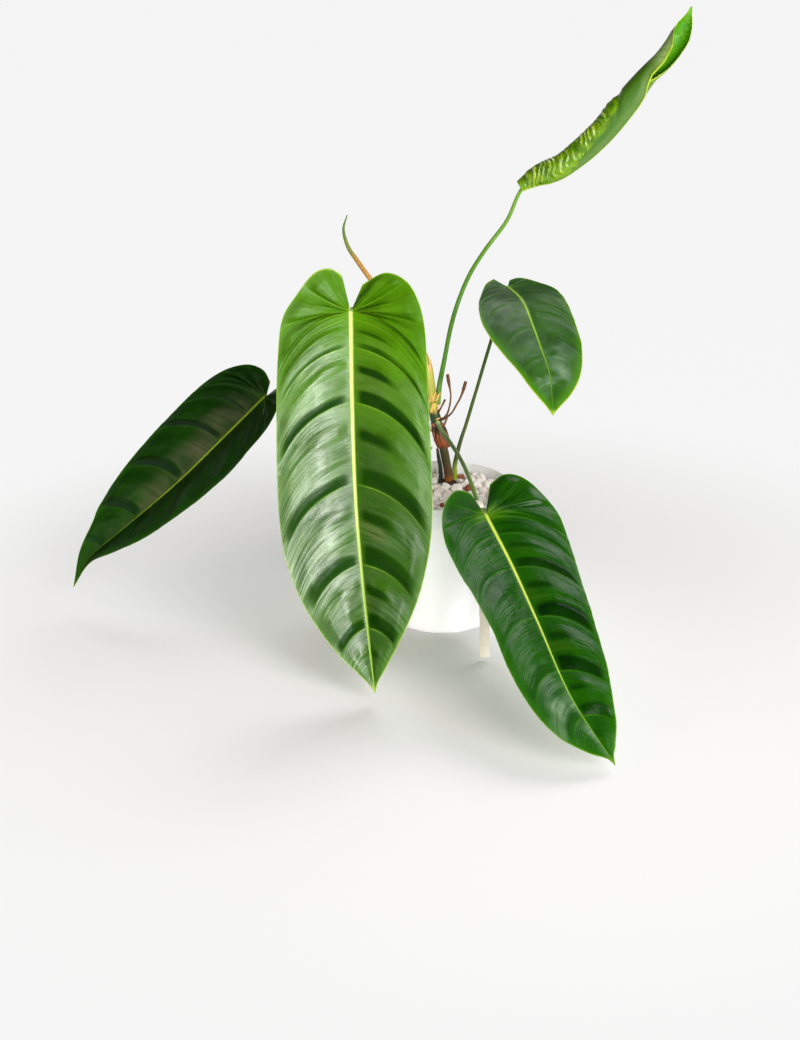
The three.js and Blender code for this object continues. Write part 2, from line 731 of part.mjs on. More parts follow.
const random = seeded(20);
addPiece("pot", potGeometry(), colours.pot, 0.35);
addPiece("soil", soilGeometry(random), colours.soil, 0.95);
addPiece("gravel", gravelGeometry(random), colours.gravel, 0.95);
lavaStones.forEach((lava, i) => {
  addPiece("lava_stone_" + (i + 1), lavaGeometry(lava, i, 0), colours.lava, 0.9);
});
addPiece("stem", sweep(stem, 10, 22), colours.stem, 0.7);
for (const [name, stalk] of Object.entries(stalks)) {
  addPiece(name, sweep(stalk, 8, 16), colours.stalk, 0.45);
}
for (const [name, leaf] of Object.entries(leaves)) {
  const dark = name === "leaf_left" || name === "leaf_right_high";
  addPiece(name, leafBlade(leaf), dark ? colours.darkLeaf : colours.leaf, 0.35);
}
addPiece("leaf_young", rolledBlade(rolledLeaf), colours.youngLeaf, 0.4);
addPiece("new_spike", sweep(newSpike, 8, 20), colours.bud, 0.5);
addPiece("old_sheath", wrap(stem, oldSheath), colours.bark, 0.9);
addPiece("paper_sheath", wrap(newSpike, paperSheath), colours.paper, 0.8);
const forkBranches = Object.values(dryRoots).map((piece) => solidOf(sweep(piece, 6, 10)));
const fork = forkBranches.reduce((joined, branch) => joined.add(branch));
addPiece("dry_root_fork", geometryOfSolid(fork), colours.dryRoot, 0.85);
addPiece("dry_root_short", sweep(shortRoot, 6, 5), colours.dryRoot, 0.85);
addPiece("live_root", sweep(liveRoot, 8, 12), colours.liveRoot, 0.7);
addPiece("plant_label", labelGeometry(), colours.label, 0.6);

export default plant;
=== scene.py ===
# Looks of a potted climbing philodendron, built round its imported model. Shapes are worked out in
# millimetres in the model's own frame and become metres when a mesh is made.

import math

import bmesh
import bpy
import numpy as np
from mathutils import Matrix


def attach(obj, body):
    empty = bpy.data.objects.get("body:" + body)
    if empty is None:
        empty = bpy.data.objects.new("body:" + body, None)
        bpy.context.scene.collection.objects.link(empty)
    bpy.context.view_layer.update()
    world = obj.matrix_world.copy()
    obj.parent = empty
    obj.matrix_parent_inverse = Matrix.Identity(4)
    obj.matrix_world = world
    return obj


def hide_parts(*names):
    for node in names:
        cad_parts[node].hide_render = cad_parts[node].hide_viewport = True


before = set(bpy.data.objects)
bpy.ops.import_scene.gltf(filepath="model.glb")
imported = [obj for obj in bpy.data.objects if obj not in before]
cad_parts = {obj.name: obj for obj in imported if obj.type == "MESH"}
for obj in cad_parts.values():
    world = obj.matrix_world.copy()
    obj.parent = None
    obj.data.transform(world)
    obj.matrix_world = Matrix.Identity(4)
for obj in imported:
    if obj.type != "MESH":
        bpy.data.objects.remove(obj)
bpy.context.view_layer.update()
print("frame loaded:", len(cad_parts), "nodes")


# Camera

cameraSettings = {
    "place": (-0.0455, -1.4666, 0.7004),
    "tilt": 68.0,  # degrees from straight down
    "lens": 50.0,
}


def makeCamera(s):
    data = bpy.data.cameras.new("camera")
    data.lens = s["lens"]
    data.sensor_width = 36.0
    camera = bpy.data.objects.new("camera", data)
    camera.location = s["place"]
    camera.rotation_euler = (math.radians(s["tilt"]), 0, 0)
    bpy.context.scene.collection.objects.link(camera)
    bpy.context.scene.camera = camera


makeCamera(cameraSettings)


# Shape helpers

def smoothStep(low, high, x):
    # 0 below low, 1 above high, and 3t^2 - 2t^3 between them
    t = np.clip((x - low) / (high - low), 0, 1)
    return t * t * (3 - 2 * t)


def lookUp(pairs, x):
    # straight lines between [x, y] pairs
    table = np.array(pairs, float)
    return np.interp(x, table[:, 0], table[:, 1])


def evenly(values, t):
    # values at even steps from t = 0 to 1, with straight lines between them
    return np.interp(t, np.linspace(0, 1, len(values)), values)


def cellNoise(points, size, seed=0):
    # random values from -1 to 1 on a lattice of the given size, blended by 3t^2 - 2t^3 in each cell
    q = np.asarray(points, float) / size
    cell = np.floor(q).astype(np.int64)
    f = q - cell
    f = f * f * (3 - 2 * f)

    def corner(dx, dy, dz):
        h = (cell[..., 0] + dx) * 73856093
        h = h ^ ((cell[..., 1] + dy) * 19349663)
        h = h ^ ((cell[..., 2] + dz) * 83492791)
        h = (h ^ (seed * 668265263 + 374761393)) & 0x7FFFFFFF
        h = ((h ^ (h >> 13)) * 1274126177) & 0x7FFFFFFF
        return ((h ^ (h >> 16)) & 0xFFFF) / 32767.5 - 1

    total = 0
    for dx in (0, 1):
        for dy in (0, 1):
            for dz in (0, 1):
                share = np.where(dx, f[..., 0], 1 - f[..., 0])
                share = share * np.where(dy, f[..., 1], 1 - f[..., 1])
                share = share * np.where(dz, f[..., 2], 1 - f[..., 2])
                total = total + share * corner(dx, dy, dz)
    return total


def roughNoise(points, size, seed=0, layers=3):
    # layers of cellNoise, each at half the size and half the height of the one before
    total = 0
    for k in range(layers):
        total = total + cellNoise(points, size / 2 ** k, seed + 17 * k) / 2 ** k
    return total / (2 - 0.5 ** (layers - 1))


def unit(v):
    return v / np.maximum(np.linalg.norm(v, axis=-1, keepdims=True), 1e-12)


def smoothPath(points, count=900):
    # centripetal Catmull-Rom: in each span a cubic whose end slopes weigh the neighbours by the
    # square root of their distance, then points at even lengths along it
    p = np.asarray(points, float)
    p = np.vstack([2 * p[0] - p[1], p, 2 * p[-1] - p[-2]])
    gap = np.sqrt(np.linalg.norm(np.diff(p, axis=0), axis=1))[:, None]
    g0, g1, g2 = gap[:-2], gap[1:-1], gap[2:]
    a, b, c, d = p[:-3], p[1:-2], p[2:-1], p[3:]
    s1 = g1 * ((b - a) / g0 - (c - a) / (g0 + g1) + (c - b) / g1)
    s2 = g1 * ((c - b) / g1 - (d - b) / (g1 + g2) + (d - c) / g2)
    u = np.linspace(0, 1, 80, endpoint=False)[None, :, None]
    b, c, s1, s2 = b[:, None], c[:, None], s1[:, None], s2[:, None]
    curve = b + s1 * u + (3 * (c - b) - 2 * s1 - s2) * u ** 2 + (2 * (b - c) + s1 + s2) * u ** 3
    curve = np.vstack([curve.reshape(-1, p.shape[1]), p[-2]])
    return evenLengths(curve, count)


def softPath(points, count=900):
    # uniform Catmull-Rom whose end points count twice, then points at even lengths along it
    p = np.asarray(points, float)
    p = np.vstack([p[0], p, p[-1]])
    a, b, c, d = (q[:, None] for q in (p[:-3], p[1:-2], p[2:-1], p[3:]))
    u = np.linspace(0, 1, 80, endpoint=False)[None, :, None]
    s1, s2 = (c - a) / 2, (d - b) / 2
    curve = b + s1 * u + (3 * (c - b) - 2 * s1 - s2) * u ** 2 + (2 * (b - c) + s1 + s2) * u ** 3
    curve = np.vstack([curve.reshape(-1, p.shape[1]), p[-2]])
    return evenLengths(curve, count)


def evenLengths(curve, count):
    steps = np.linalg.norm(np.diff(curve, axis=0), axis=1)
    along = np.concatenate([[0], np.cumsum(steps)])
    at = np.linspace(0, along[-1], count)
    return np.stack([np.interp(at, along, curve[:, k]) for k in range(curve.shape[1])], 1)


def lengthOf(path):
    return float(np.linalg.norm(np.diff(path, axis=0), axis=1).sum())


def tangentsOf(path):
    return unit(np.gradient(path, axis=0))


def pickRows(table, share):
    # rows of a table at a share of the way down it, from 0 to 1
    at = np.clip(share, 0, 1) * (len(table) - 1)
    low = np.minimum(at.astype(int), len(table) - 2)
    f = (at - low)[..., None]
    return table[low] * (1 - f) + table[low + 1] * f


# Mesh helpers

def gridFaces(rows, columns, wrapped=False, flip=False):
    # two triangles for each cell of a grid of rows x columns points
    i = np.arange(rows - 1)[:, None]
    j = np.arange(columns if wrapped else columns - 1)[None, :]
    k = (j + 1) % columns
    a, b, c, d = i * columns + j, i * columns + k, (i + 1) * columns + k, (i + 1) * columns + j
    quads = np.stack([a, b, c, a, c, d], -1).reshape(-1, 3)
    return quads[:, ::-1] if flip else quads


class Shape:
    # points, triangles, a slot for each triangle and numbers or vectors for each point, gathered
    # part by part
    def __init__(self):
        self.points, self.faces, self.slots, self.values, self.count = [], [], [], {}, 0

    def add(self, points, faces, slot=0, **values):
        points = points.reshape(-1, 3)
        self.points.append(points)
        self.faces.append(faces + self.count)
        self.slots.append(np.full(len(faces), slot))
        for name, value in values.items():
            flat = np.broadcast_to(value, points.shape[:1]) if np.ndim(value) == 0 else np.asarray(value)
            flat = flat.reshape(len(points), -1).astype(float)
            self.values.setdefault(name, []).append((self.count, flat))
        self.count += len(points)

    def make(self, name, materials, cadNodes=(), sharp=None, weld=1e-3):
        points = np.vstack(self.points)
        faces = np.vstack(self.faces)
        slots = np.concatenate(self.slots)
        values = {}
        for key, chunks in self.values.items():
            whole = np.zeros((self.count, chunks[0][1].shape[1]))
            for first, chunk in chunks:
                whole[first:first + len(chunk)] = chunk
            values[key] = whole
        _, first, back = np.unique(np.round(points / weld).astype(np.int64), axis=0,
                                   return_index=True, return_inverse=True)
        faces = back.reshape(-1)[faces]
        whole = (faces[:, 0] != faces[:, 1]) & (faces[:, 1] != faces[:, 2]) & (faces[:, 2] != faces[:, 0])
        faces, slots = faces[whole], slots[whole]
        mesh = bpy.data.meshes.new(name)
        mesh.vertices.add(len(first))
        mesh.vertices.foreach_set("co", (points[first] / 1000).astype(np.float32).ravel())
        mesh.loops.add(faces.size)
        mesh.loops.foreach_set("vertex_index", faces.astype(np.int32).ravel())
        mesh.polygons.add(len(faces))
        mesh.polygons.foreach_set("loop_start", np.arange(0, faces.size, 3, dtype=np.int32))
        mesh.polygons.foreach_set("material_index", slots.astype(np.int32))
        mesh.update(calc_edges=True)
        mesh.validate()
        for key, whole in values.items():
            if key == "u":
                layer = mesh.uv_layers.new(name="surface")
                corners = np.zeros(len(mesh.loops), np.int32)
                mesh.loops.foreach_get("vertex_index", corners)
                uv = np.hstack([values["u"][first][corners], values["v"][first][corners]])
                layer.data.foreach_set("uv", uv.astype(np.float32).ravel())
            elif whole.shape[1] == 3:
                mesh.attributes.new(key, "FLOAT_VECTOR", "POINT").data.foreach_set(
                    "vector", whole[first].astype(np.float32).ravel())
            elif key != "v":
                mesh.attributes.new(key, "FLOAT", "POINT").data.foreach_set(
                    "value", whole[first].astype(np.float32).ravel())
        mesh.shade_smooth()
        if sharp:
            mesh.set_sharp_from_angle(angle=math.radians(sharp))
        for material in materials:
            mesh.materials.append(material)
        piece = bpy.data.objects.new(name, mesh)
        bpy.context.scene.collection.objects.link(piece)
        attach(piece, "root")
        if cadNodes:
            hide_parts(*cadNodes)
        print(f"{name}: {len(faces)} triangles")
        return piece


def tubePoints(path, radius, around, towards, angles=None):
    # a ring round each point of a path: centre + radius (cos a side + sin a front), where front
    # is the towards direction made square to the path
    tangent = tangentsOf(path)
    front = unit(np.asarray(towards, float) - (tangent @ np.asarray(towards, float))[:, None] * tangent)
    side = np.cross(front, tangent)
    a = np.linspace(0, 2 * np.pi, around, endpoint=False) if angles is None else angles
    a = a[None, :, None]
    radius = np.asarray(radius, float)
    radius = radius[:, None, None] if radius.ndim == 1 else radius[:, :, None]
    return path[:, None] + radius * (np.cos(a) * side[:, None] + np.sin(a) * front[:, None])


def addTube(shape, path, radius, around=24, towards=(0, -1, 0), slot=0, **values):
    # A tube closed by a point at each end. Its points also carry their place as if the tube were
    # straight, in metres, and their share of the way along it.
    rings = tubePoints(path, radius, around, towards)
    along = np.linspace(0, lengthOf(path), len(path))[:, None] + np.zeros((1, around))
    a = np.linspace(0, 2 * np.pi, around, endpoint=False)[None, :] + 0 * along
    reach = np.linalg.norm(rings - path[:, None], axis=2)
    values["straight"] = np.stack([reach * np.cos(a), reach * np.sin(a), along], 2) / 1000
    values["share"] = along / along[-1, 0]
    closed = {"points": rings, **values}
    for name, value in closed.items():
        value = np.asarray(value, float)
        if value.ndim == 1:
            value = np.repeat(value[:, None], around, 1)
        ends = [value[:1], value[-1:]]
        if name in ("points", "straight"):
            ends = [np.broadcast_to(e.mean(1, keepdims=True), e.shape) for e in ends]
        closed[name] = np.concatenate([ends[0], value, ends[1]])
    shape.add(closed.pop("points"), gridFaces(len(rings) + 2, around, wrapped=True), slot, **closed)


# Material helpers

def linear(r, g, b):
    # screen colour from 0 to 255 made linear
    return tuple(((c / 255 + 0.055) / 1.055) ** 2.4 if c > 10 else c / 255 / 12.92 for c in (r, g, b)) + (1,)


class Nodes:
    # short ways to add nodes to a tree and link them
    def __init__(self, tree):
        self.tree = tree

    def add(self, kind, inputs=None, **settings):
        node = self.tree.nodes.new(kind)
        for name, value in settings.items():
            setattr(node, name, value)
        for name, value in (inputs or {}).items():
            self.put(node.inputs[name], value)
        return node

    def put(self, socket, value):
        if isinstance(value, bpy.types.NodeSocket):
            self.tree.links.new(value, socket)
        elif isinstance(value, bpy.types.Node):
            self.tree.links.new(value.outputs[0], socket)
        else:
            socket.default_value = value

    def value(self, name):
        return self.add("ShaderNodeAttribute", attribute_name=name).outputs["Fac"]

    def vector(self, name):
        return self.add("ShaderNodeAttribute", attribute_name=name).outputs["Vector"]

    def math(self, operation, a, b=0.0, c=0.0, clamp=False):
        return self.add("ShaderNodeMath", {0: a, 1: b, 2: c}, operation=operation, use_clamp=clamp).outputs[0]

    def ramp(self, value, low, high, start=0.0, end=1.0):
        node = self.add("ShaderNodeMapRange", {"Value": value, "From Min": low, "From Max": high,
                                               "To Min": start, "To Max": end},
                        interpolation_type="SMOOTHSTEP")
        return node.outputs[0]

    def mix(self, share, a, b, blend="MIX"):
        node = self.add("ShaderNodeMix", data_type="RGBA", blend_type=blend)
        self.put(node.inputs["Factor"], share)
        self.put(node.inputs[6], a)
        self.put(node.inputs[7], b)
        return node.outputs[2]

    def noise(self, vector, scale, detail=3.0, roughness=0.5, distortion=0.0):
        node = self.add("ShaderNodeTexNoise", {"Vector": vector, "Scale": scale, "Detail": detail,
                                               "Roughness": roughness, "Distortion": distortion})
        return node.outputs["Fac"]

    def place(self):
        return self.add("ShaderNodeTexCoord").outputs["Object"]

    def surface(self):
        return self.add("ShaderNodeUVMap", uv_map="surface").outputs["UV"]

    def stretch(self, vector, scale, turn=(0, 0, 0)):
        return self.add("ShaderNodeMapping", {"Vector": vector, "Scale": scale, "Rotation": turn}).outputs[0]


def newMaterial(name, roughness=0.5, specular=0.5, **sockets):
    # a Principled material with constants set on its own sockets
    material = bpy.data.materials.new(name)
    material.use_nodes = True
    tree = material.node_tree
    tree.nodes.clear()
    nodes = Nodes(tree)
    shader = nodes.add("ShaderNodeBsdfPrincipled", {"Roughness": roughness, "Specular IOR Level": specular})
    for socket, value in sockets.items():
        shader.inputs[socket.replace("_", " ")].default_value = value
    out = nodes.add("ShaderNodeOutputMaterial")
    tree.links.new(shader.outputs[0], out.inputs[0])
    return material, nodes, shader


def newGroup(name, inputs, outputs):
    # a shader node group with named sockets: inputs and outputs are (kind, name, value) and (kind, name)
    tree = bpy.data.node_groups.new(name, "ShaderNodeTree")
    for kind, title, value in inputs:
        socket = tree.interface.new_socket(title, in_out="INPUT", socket_type="NodeSocket" + kind)
        if value is not None:
            socket.default_value = value
    for kind, title in outputs:
        tree.interface.new_socket(title, in_out="OUTPUT", socket_type="NodeSocket" + kind)
    nodes = Nodes(tree)
    return tree, nodes, nodes.add("NodeGroupInput").outputs, nodes.add("NodeGroupOutput").inputs


def mottleGroup():
    # uneven colour: two sizes of noise push a colour towards a second one and a third one
    tree, n, given, out = newGroup("mottle", [
        ("Color", "Base", (0.5, 0.5, 0.5, 1)), ("Color", "Second", (0.4, 0.4, 0.4, 1)),
        ("Color", "Third", (0.6, 0.6, 0.6, 1)), ("Vector", "Place", None), ("Float", "Size", 60.0),
        ("Float", "Amount", 0.6)], [("Color", "Color"), ("Float", "Mask")])
    big = n.noise(given["Place"], given["Size"], 3, 0.55)
    small = n.noise(given["Place"], n.math("MULTIPLY", given["Size"], 4.3), 2, 0.6)
    first = n.math("MULTIPLY", n.ramp(big, 0.42, 0.66), given["Amount"])
    second = n.math("MULTIPLY", n.ramp(small, 0.5, 0.74), given["Amount"])
    colour = n.mix(first, given["Base"], given["Second"])
    n.put(out["Color"], n.mix(second, colour, given["Third"]))
    n.put(out["Mask"], first)
    return tree


def grainGroup():
    # fine relief: noise at one size plus pits where a second noise is low
    tree, n, given, out = newGroup("grain", [
        ("Vector", "Place", None), ("Float", "Size", 400.0), ("Float", "Pits", 0.5)],
        [("Float", "Height"), ("Float", "Pit")])
    fine = n.noise(given["Place"], given["Size"], 4, 0.6)
    cells = n.add("ShaderNodeTexVoronoi", {"Vector": given["Place"],
                                           "Scale": n.math("MULTIPLY", given["Size"], 1.7)})
    pit = n.math("MULTIPLY", n.ramp(cells.outputs["Distance"], 0.34, 0.08), given["Pits"])
    n.put(out["Height"], n.math("SUBTRACT", fine, pit))
    n.put(out["Pit"], pit)
    return tree


mottle = mottleGroup()
grain = grainGroup()


def useGroup(nodes, tree, **inputs):
    node = nodes.add("ShaderNodeGroup", node_tree=tree)
    for name, value in inputs.items():
        nodes.put(node.inputs[name], value)
    return node


def addBump(nodes, shader, height, distance, strength=1.0):
    # distance in millimetres
    bump = nodes.add("ShaderNodeBump", {"Height": height, "Distance": distance / 1000, "Strength": strength})
    nodes.put(shader.inputs["Normal"], bump.outputs[0])


print("helpers ready")


# Leaf blades

# The same midribs, directions across, folds and margins as in the model. Margins are points as
# [along the midrib, out from it], from the notch to the tip.
leaves = {
    "leaf_front": {
        "midrib": [[-92, -128, 372], [-91, -152, 292], [-88, -175, 199], [-81, -195, 114], [-70, -216, 11]],
        "across": [1, 0, 0], "fold": 14, "relief": 5.6, "sides": (1.0, 0.85), "steps": 1.1,
        "right": [[-25, 12], [-35, 34], [-27, 54], [-7, 66], [22, 72], [75, 74], [150, 76], [210, 73],
                  [262, 60], [305, 40], [345, 15], [360, 5]],
        "left": [[-34, 8], [-40, 20], [-35, 35], [-16, 51], [6, 65], [38, 70], [100, 73], [180, 75],
                 [228, 72], [275, 59], [320, 36], [350, 14], [362, 5]],
        "veins": [0.02, 0.09, 0.23, 0.44, 0.65, 0.82],
        "ribWidth": 2.8, "ribTaper": 0.55, "wave": 0.5, "seed": 3,
    },
    "leaf_left": {
        "midrib": [[-189, 8, 246], [-233, 8, 202], [-289, 5, 148], [-361, -2, 88], [-386, -5, 67],
                   [-407, -13, 33]],
        "across": [0.468, -0.776, -0.407], "fold": 18, "relief": 3.8, "sides": (0.5, 1.0), "steps": 0.5,
        "right": [[-20, 5], [-23, 20], [-12, 36], [9, 51], [41, 57], [75, 61], [115, 57], [158, 52],
                  [205, 42], [250, 20], [285, 4]],
        "left": [[-15, 8], [-17, 23], [-6, 41], [20, 57], [54, 64], [93, 65], [138, 62], [183, 54],
                 [226, 38], [258, 20], [288, 7]],
        "veins": [0.02, 0.09, 0.23, 0.44, 0.65, 0.82],
        "ribWidth": 2.6, "ribTaper": 1.1, "wave": 0.5, "seed": 11,
    },
    "leaf_right_low": {
        "midrib": [[40, -125, 164], [63, -172, 131], [85, -232, 97], [112, -299, 52], [148, -346, 10]],
        "across": [0.926, 0.378, 0], "fold": 12, "relief": 3.4, "sides": (1.0, 0.24), "steps": 0.7,
        "right": [[-32, 19], [-38, 36], [-31, 51], [-11, 61], [26, 68], [60, 64], [104, 57], [155, 50],
                  [210, 42], [254, 26], [276, 11], [284, 4]],
        "left": [[-28, 5], [-31, 22], [-12, 45], [20, 61], [62, 64], [104, 59], [145, 54], [190, 53],
                 [222, 49], [250, 38], [272, 20], [284, 4]],
        "veins": [0.02, 0.09, 0.23, 0.44, 0.65, 0.82],
        "ribWidth": 2.6, "ribTaper": 1.15, "wave": 0.8, "seed": 23,
    },
    "leaf_right_high": {
        "midrib": [[70, 64, 352], [83, 30, 345], [91, -4, 329], [99, -32, 309], [106, -56, 289],
                   [108, -84, 255]],
        "across": [0.95, 0.32, 0], "fold": 8, "relief": 0.9, "sides": (0.5, 0.5), "steps": 0.4,
        "right": [[-13, 8], [-12, 21], [12, 34], [40, 43], [75, 45], [112, 43], [139, 35], [163, 21],
                  [180, 6]],
        "left": [[-20, 8], [0, 27], [36, 48], [70, 57], [94, 55], [119, 46], [156, 28], [180, 6]],
        "veins": [0.02, 0.09, 0.23, 0.44, 0.65, 0.82],
        "ribWidth": 2.3, "ribTaper": 1.1, "wave": 0.9, "seed": 37,
    },
}
bladeSettings = {
    "rowsBetweenVeins": 30,
    "columns": 38,
    "thickness": 0.8,
    "slant": 0.85,  # veins run this much towards the tip for each millimetre out
    "lobeVeins": 3,
    "ribDepth": 2.4,  # of the midrib under the blade, at the stalk
    "ribRise": 0.7,  # of the midrib over the blade
}


def bladeRows(margin, length, veins, s):
    # One row for each step between veins, from the notch to the tip. A row runs from its start on
    # the midrib (or from the notch) to its place on the margin, and phase is its share of the way
    # from one vein to the next.
    path = softPath(margin + [[length, 0]], 1001)
    arc = np.linspace(0, lengthOf(path), len(path))
    start = np.maximum.accumulate(path[:, 0] - s["slant"] * path[:, 1])
    firstOnRib = int(np.argmax(path[:, 0] - s["slant"] * path[:, 1] > 0))
    steps = np.arange(s["rowsBetweenVeins"]) / s["rowsBetweenVeins"]
    lobe = (np.arange(s["lobeVeins"])[:, None] + steps).ravel() / s["lobeVeins"] * firstOnRib
    edges = np.array([0] + veins + [1.0])
    ribStart = (edges[:-1, None] + np.diff(edges)[:, None] * steps).ravel()[1:] * length
    grow = np.arange(len(start)) * 1e-9
    onMargin = np.interp(ribStart, start + grow, np.arange(len(start)))
    at = np.concatenate([lobe, onMargin, [len(path) - 1.0]])
    phase = np.concatenate([np.tile(steps, s["lobeVeins"]), np.tile(steps, len(edges) - 1)[1:], [0.0]])
    index = np.arange(len(path))
    out = np.stack([np.interp(at, index, path[:, k]) for k in (0, 1)], 1)
    starts = np.concatenate([np.zeros(len(lobe)), ribStart, [length]])
    inLobe = np.concatenate([1 - lobe / firstOnRib, 0 * ribStart, [0]])
    arc = np.interp(at, index, arc)
    veinArc = np.append(arc[:-1:s["rowsBetweenVeins"]], arc[-1])
    room = np.append(np.repeat(np.diff(veinArc), s["rowsBetweenVeins"]), 0)[:len(arc)]
    return starts, out[:, 0], out[:, 1], phase, arc, inLobe, room


def makeBlade(name, leaf, s, materials):
    # Each row is a quadratic curve that leaves the midrib nearly square to it and bends to the tip.
    # The blade folds up from the midrib by out sin(fold) (1.5 - 0.5 out / widest). Between veins it
    # rises by relief smoothStep(0, 0.55, phase) and falls back over the last part, the drop, and is
    # flat at the midrib and the margin. Smaller steps, swellings and ripples are added to that.
    midrib = smoothPath(leaf["midrib"], 1201)
    length = lengthOf(midrib)
    tangents = tangentsOf(midrib)
    widest = max(p[1] for p in leaf["right"])
    fold = math.radians(leaf["fold"])
    across = unit(np.array(leaf["across"], float))
    shape = Shape()
    edgeRing = []
    for side, key in ((1, "right"), (-1, "left")):
        start, reach, wide, phase, arc, inLobe, room = bladeRows(leaf[key], length, leaf["veins"], s)
        rows, columns = len(start), s["columns"] + 1
        t = (np.linspace(0, 1, columns) ** 1.4)[None, :] + np.zeros((rows, 1))
        start, reach, wide, phase, arc, inLobe, room = (v[:, None] + 0 * t for v in (
            start, reach, wide, phase, arc, inLobe, room))
        bend = 0.13 + 0.37 * inLobe
        swing = 0.7 - 0.2 * inLobe
        along = (1 - t) ** 2 * start + 2 * t * (1 - t) * (start + bend * (reach - start)) + t ** 2 * reach
        out = (2 * t * (1 - t) * swing + t ** 2) * wide
        point = pickRows(midrib, along / length)
        tangent = unit(pickRows(tangents, along / length))
        point = point + tangent * (along - np.clip(along, 0, length))[..., None]
        sideways = unit(across - (tangent @ across)[..., None] * tangent)
        up = np.cross(tangent, sideways)
        fade = np.minimum(1, wide / 30) * np.minimum(1, room / 46)
        lower = np.clip(start / length, 0, 1)
        seed = leaf["seed"] + (5 if side > 0 else 0)
        spot = np.stack([arc, out, 9.0 * seed + 0 * out], -1)
        drop = (0.15 if side > 0 else 0.08) + 0.05 * cellNoise(spot, 28, seed + 7)
        crest = smoothStep(0, 0.55, phase) * (1 - smoothStep(0.975 - drop, 0.985, phase))
        relief = leaf["relief"] * leaf["sides"][0 if side > 0 else 1]
        height = relief * fade * crest * smoothStep(0.02, 0.4, t) * (1 - smoothStep(0.74, 1, t))
        # a weaker step at a third of the way and another at two thirds, near the midrib
        for place, share, reachOut in ((0.36, 0.34, 0.66), (0.66, 0.16, 0.5)):
            middle = place + 0.05 * cellNoise(spot, 40, seed + 9)
            step = smoothStep(middle - 0.2, middle - 0.04, phase) * (1 - smoothStep(middle - 0.03, middle + 0.07, phase))
            reachIn = smoothStep(0.02, 0.16, t) * (1 - smoothStep(0.5 * reachOut, reachOut, t))
            height = height + share * relief * leaf["steps"] * fade * step * reachIn
        grainAlong = np.stack([arc * 0.5 + start * 0.5, out * 0.42, 9.0 * seed + 0 * out], -1)
        height = height + leaf["wave"] * fade * roughNoise(grainAlong, 15, seed, 2) * smoothStep(0, 0.15, t)
        height = height + 0.5 * leaf["wave"] * fade * cellNoise(grainAlong, 5.5, seed + 2) * smoothStep(0, 0.2, t)
        margin = smoothStep(0.72, 1, t)
        edgePlace = np.stack([arc, 0 * arc, 0 * arc + seed], -1)
        height = height + leaf["wave"] * 2.4 * margin * cellNoise(edgePlace, 34, seed + 4) * fade
        # faint lines along the blade where it lay folded in the bud
        for place in (0.33, 0.6):
            line = out - place * widest + 2.5 * cellNoise(edgePlace, 25, seed + 13)
            height = height - 0.22 * np.exp(-(line / 1.1) ** 2) * fade * smoothStep(-0.2, 0.5, cellNoise(spot, 30, seed))
        # the impressed line of each vein and the raised midrib
        share = np.minimum(phase, 1 - phase)
        flat = np.stack([along, out], -1)
        downRow, nextRow = unit(np.gradient(flat, axis=1)), np.gradient(flat, axis=0)
        apart = np.abs(nextRow[..., 0] * downRow[..., 1] - nextRow[..., 1] * downRow[..., 0])
        gap = share * apart * s["rowsBetweenVeins"]
        veinLine = np.exp(-(gap / 1.2) ** 2) * (1 - smoothStep(0.75, 1, t)) * smoothStep(0, 0.12, t)
        height = height - 0.3 * veinLine
        ribWidth = leaf["ribWidth"] * ((1 - lower) ** leaf["ribTaper"] * 0.88 + 0.12)
        onRib = smoothStep(-9, 3, along)
        bulge = np.exp(-(out / (0.8 * ribWidth)) ** 2) * onRib
        height = height + s["ribRise"] * bulge * (1 - 0.7 * lower)
        raised = out * math.sin(fold) * (1.5 - 0.5 * out / widest)
        top = point + sideways * (side * out * math.cos(fold))[..., None] + up * (raised + height)[..., None]
        lean = math.sin(fold)
        normal = unit(up * math.cos(fold) - sideways * (side * lean))
        leaning = (smoothStep(0, 0.08, t) * smoothStep(0, 2, wide))[..., None]
        normal = unit(normal * leaning + up * (1 - leaning))
        depth = s["thickness"] * (1 - 0.45 * smoothStep(0.9, 1, t))
        depth = depth + s["ribDepth"] * (1 - lower) * np.exp(-(out / (1.1 * ribWidth)) ** 2) * onRib
        depth = depth + 0.55 * np.exp(-(gap / 0.9) ** 2) * (1 - t) ** 0.7 * smoothStep(0, 0.12, t)
        bottom = top - normal * depth[..., None]
        edgeGap = (1 - t) * wide * 0.95
        shadeShare = leaf["sides"][0 if side > 0 else 1]
        # painted shade: a darker band on the base side of each vein, where the blade dips into it, and a weaker one in
        # the middle of each panel on the right half; the band value carries this painted shade
        uneven = 1.15 + 0.3 * cellNoise(spot, 24, seed + 15)
        begin = 0.84 - drop + (0.05 if side < 0 else 0.02) * (1 - smoothStep(0, 0.35, t))
        band = smoothStep(begin, begin + 0.09, phase) * (1 - smoothStep(0.965, 0.995, phase))
        band = fade * shadeShare * band * uneven
        middleShadeBand = smoothStep(0.26, 0.36, phase) * (1 - smoothStep(0.4, 0.48, phase))
        middleShadeBand = middleShadeBand * (1 - smoothStep(0.25, 0.6, t)) * leaf["steps"] * fade * uneven * (side > 0)
        # painted reflection: tan patches between the veins near the midrib on the right half
        tan = smoothStep(0.4, 0.5, phase) * (1 - smoothStep(0.6, 0.74, phase)) * (1 - smoothStep(0.2, 0.5, t))
        tan = tan * fade * (side > 0) * smoothStep(-0.3, 0.3, cellNoise(spot, 16, seed + 17))
        common = {
            "u": (0.5 * arc + 0.5 * start) / 1000, "v": out / 1000,
            "veinGap": gap, "ribGap": out / ribWidth, "edgeGap": edgeGap,
            "phase": phase, "t": t, "lower": lower, "onRib": onRib, "side": side + 0 * t,
            "band": np.maximum(band, middleShadeBand), "tan": tan,
        }
        faces = gridFaces(rows, columns, flip=side > 0)
        shape.add(top, faces, 0, **common)
        shape.add(bottom, faces[:, ::-1], 1, **common)
        edgeRing.append((top, bottom, common, side))
    for top, bottom, common, side in edgeRing:
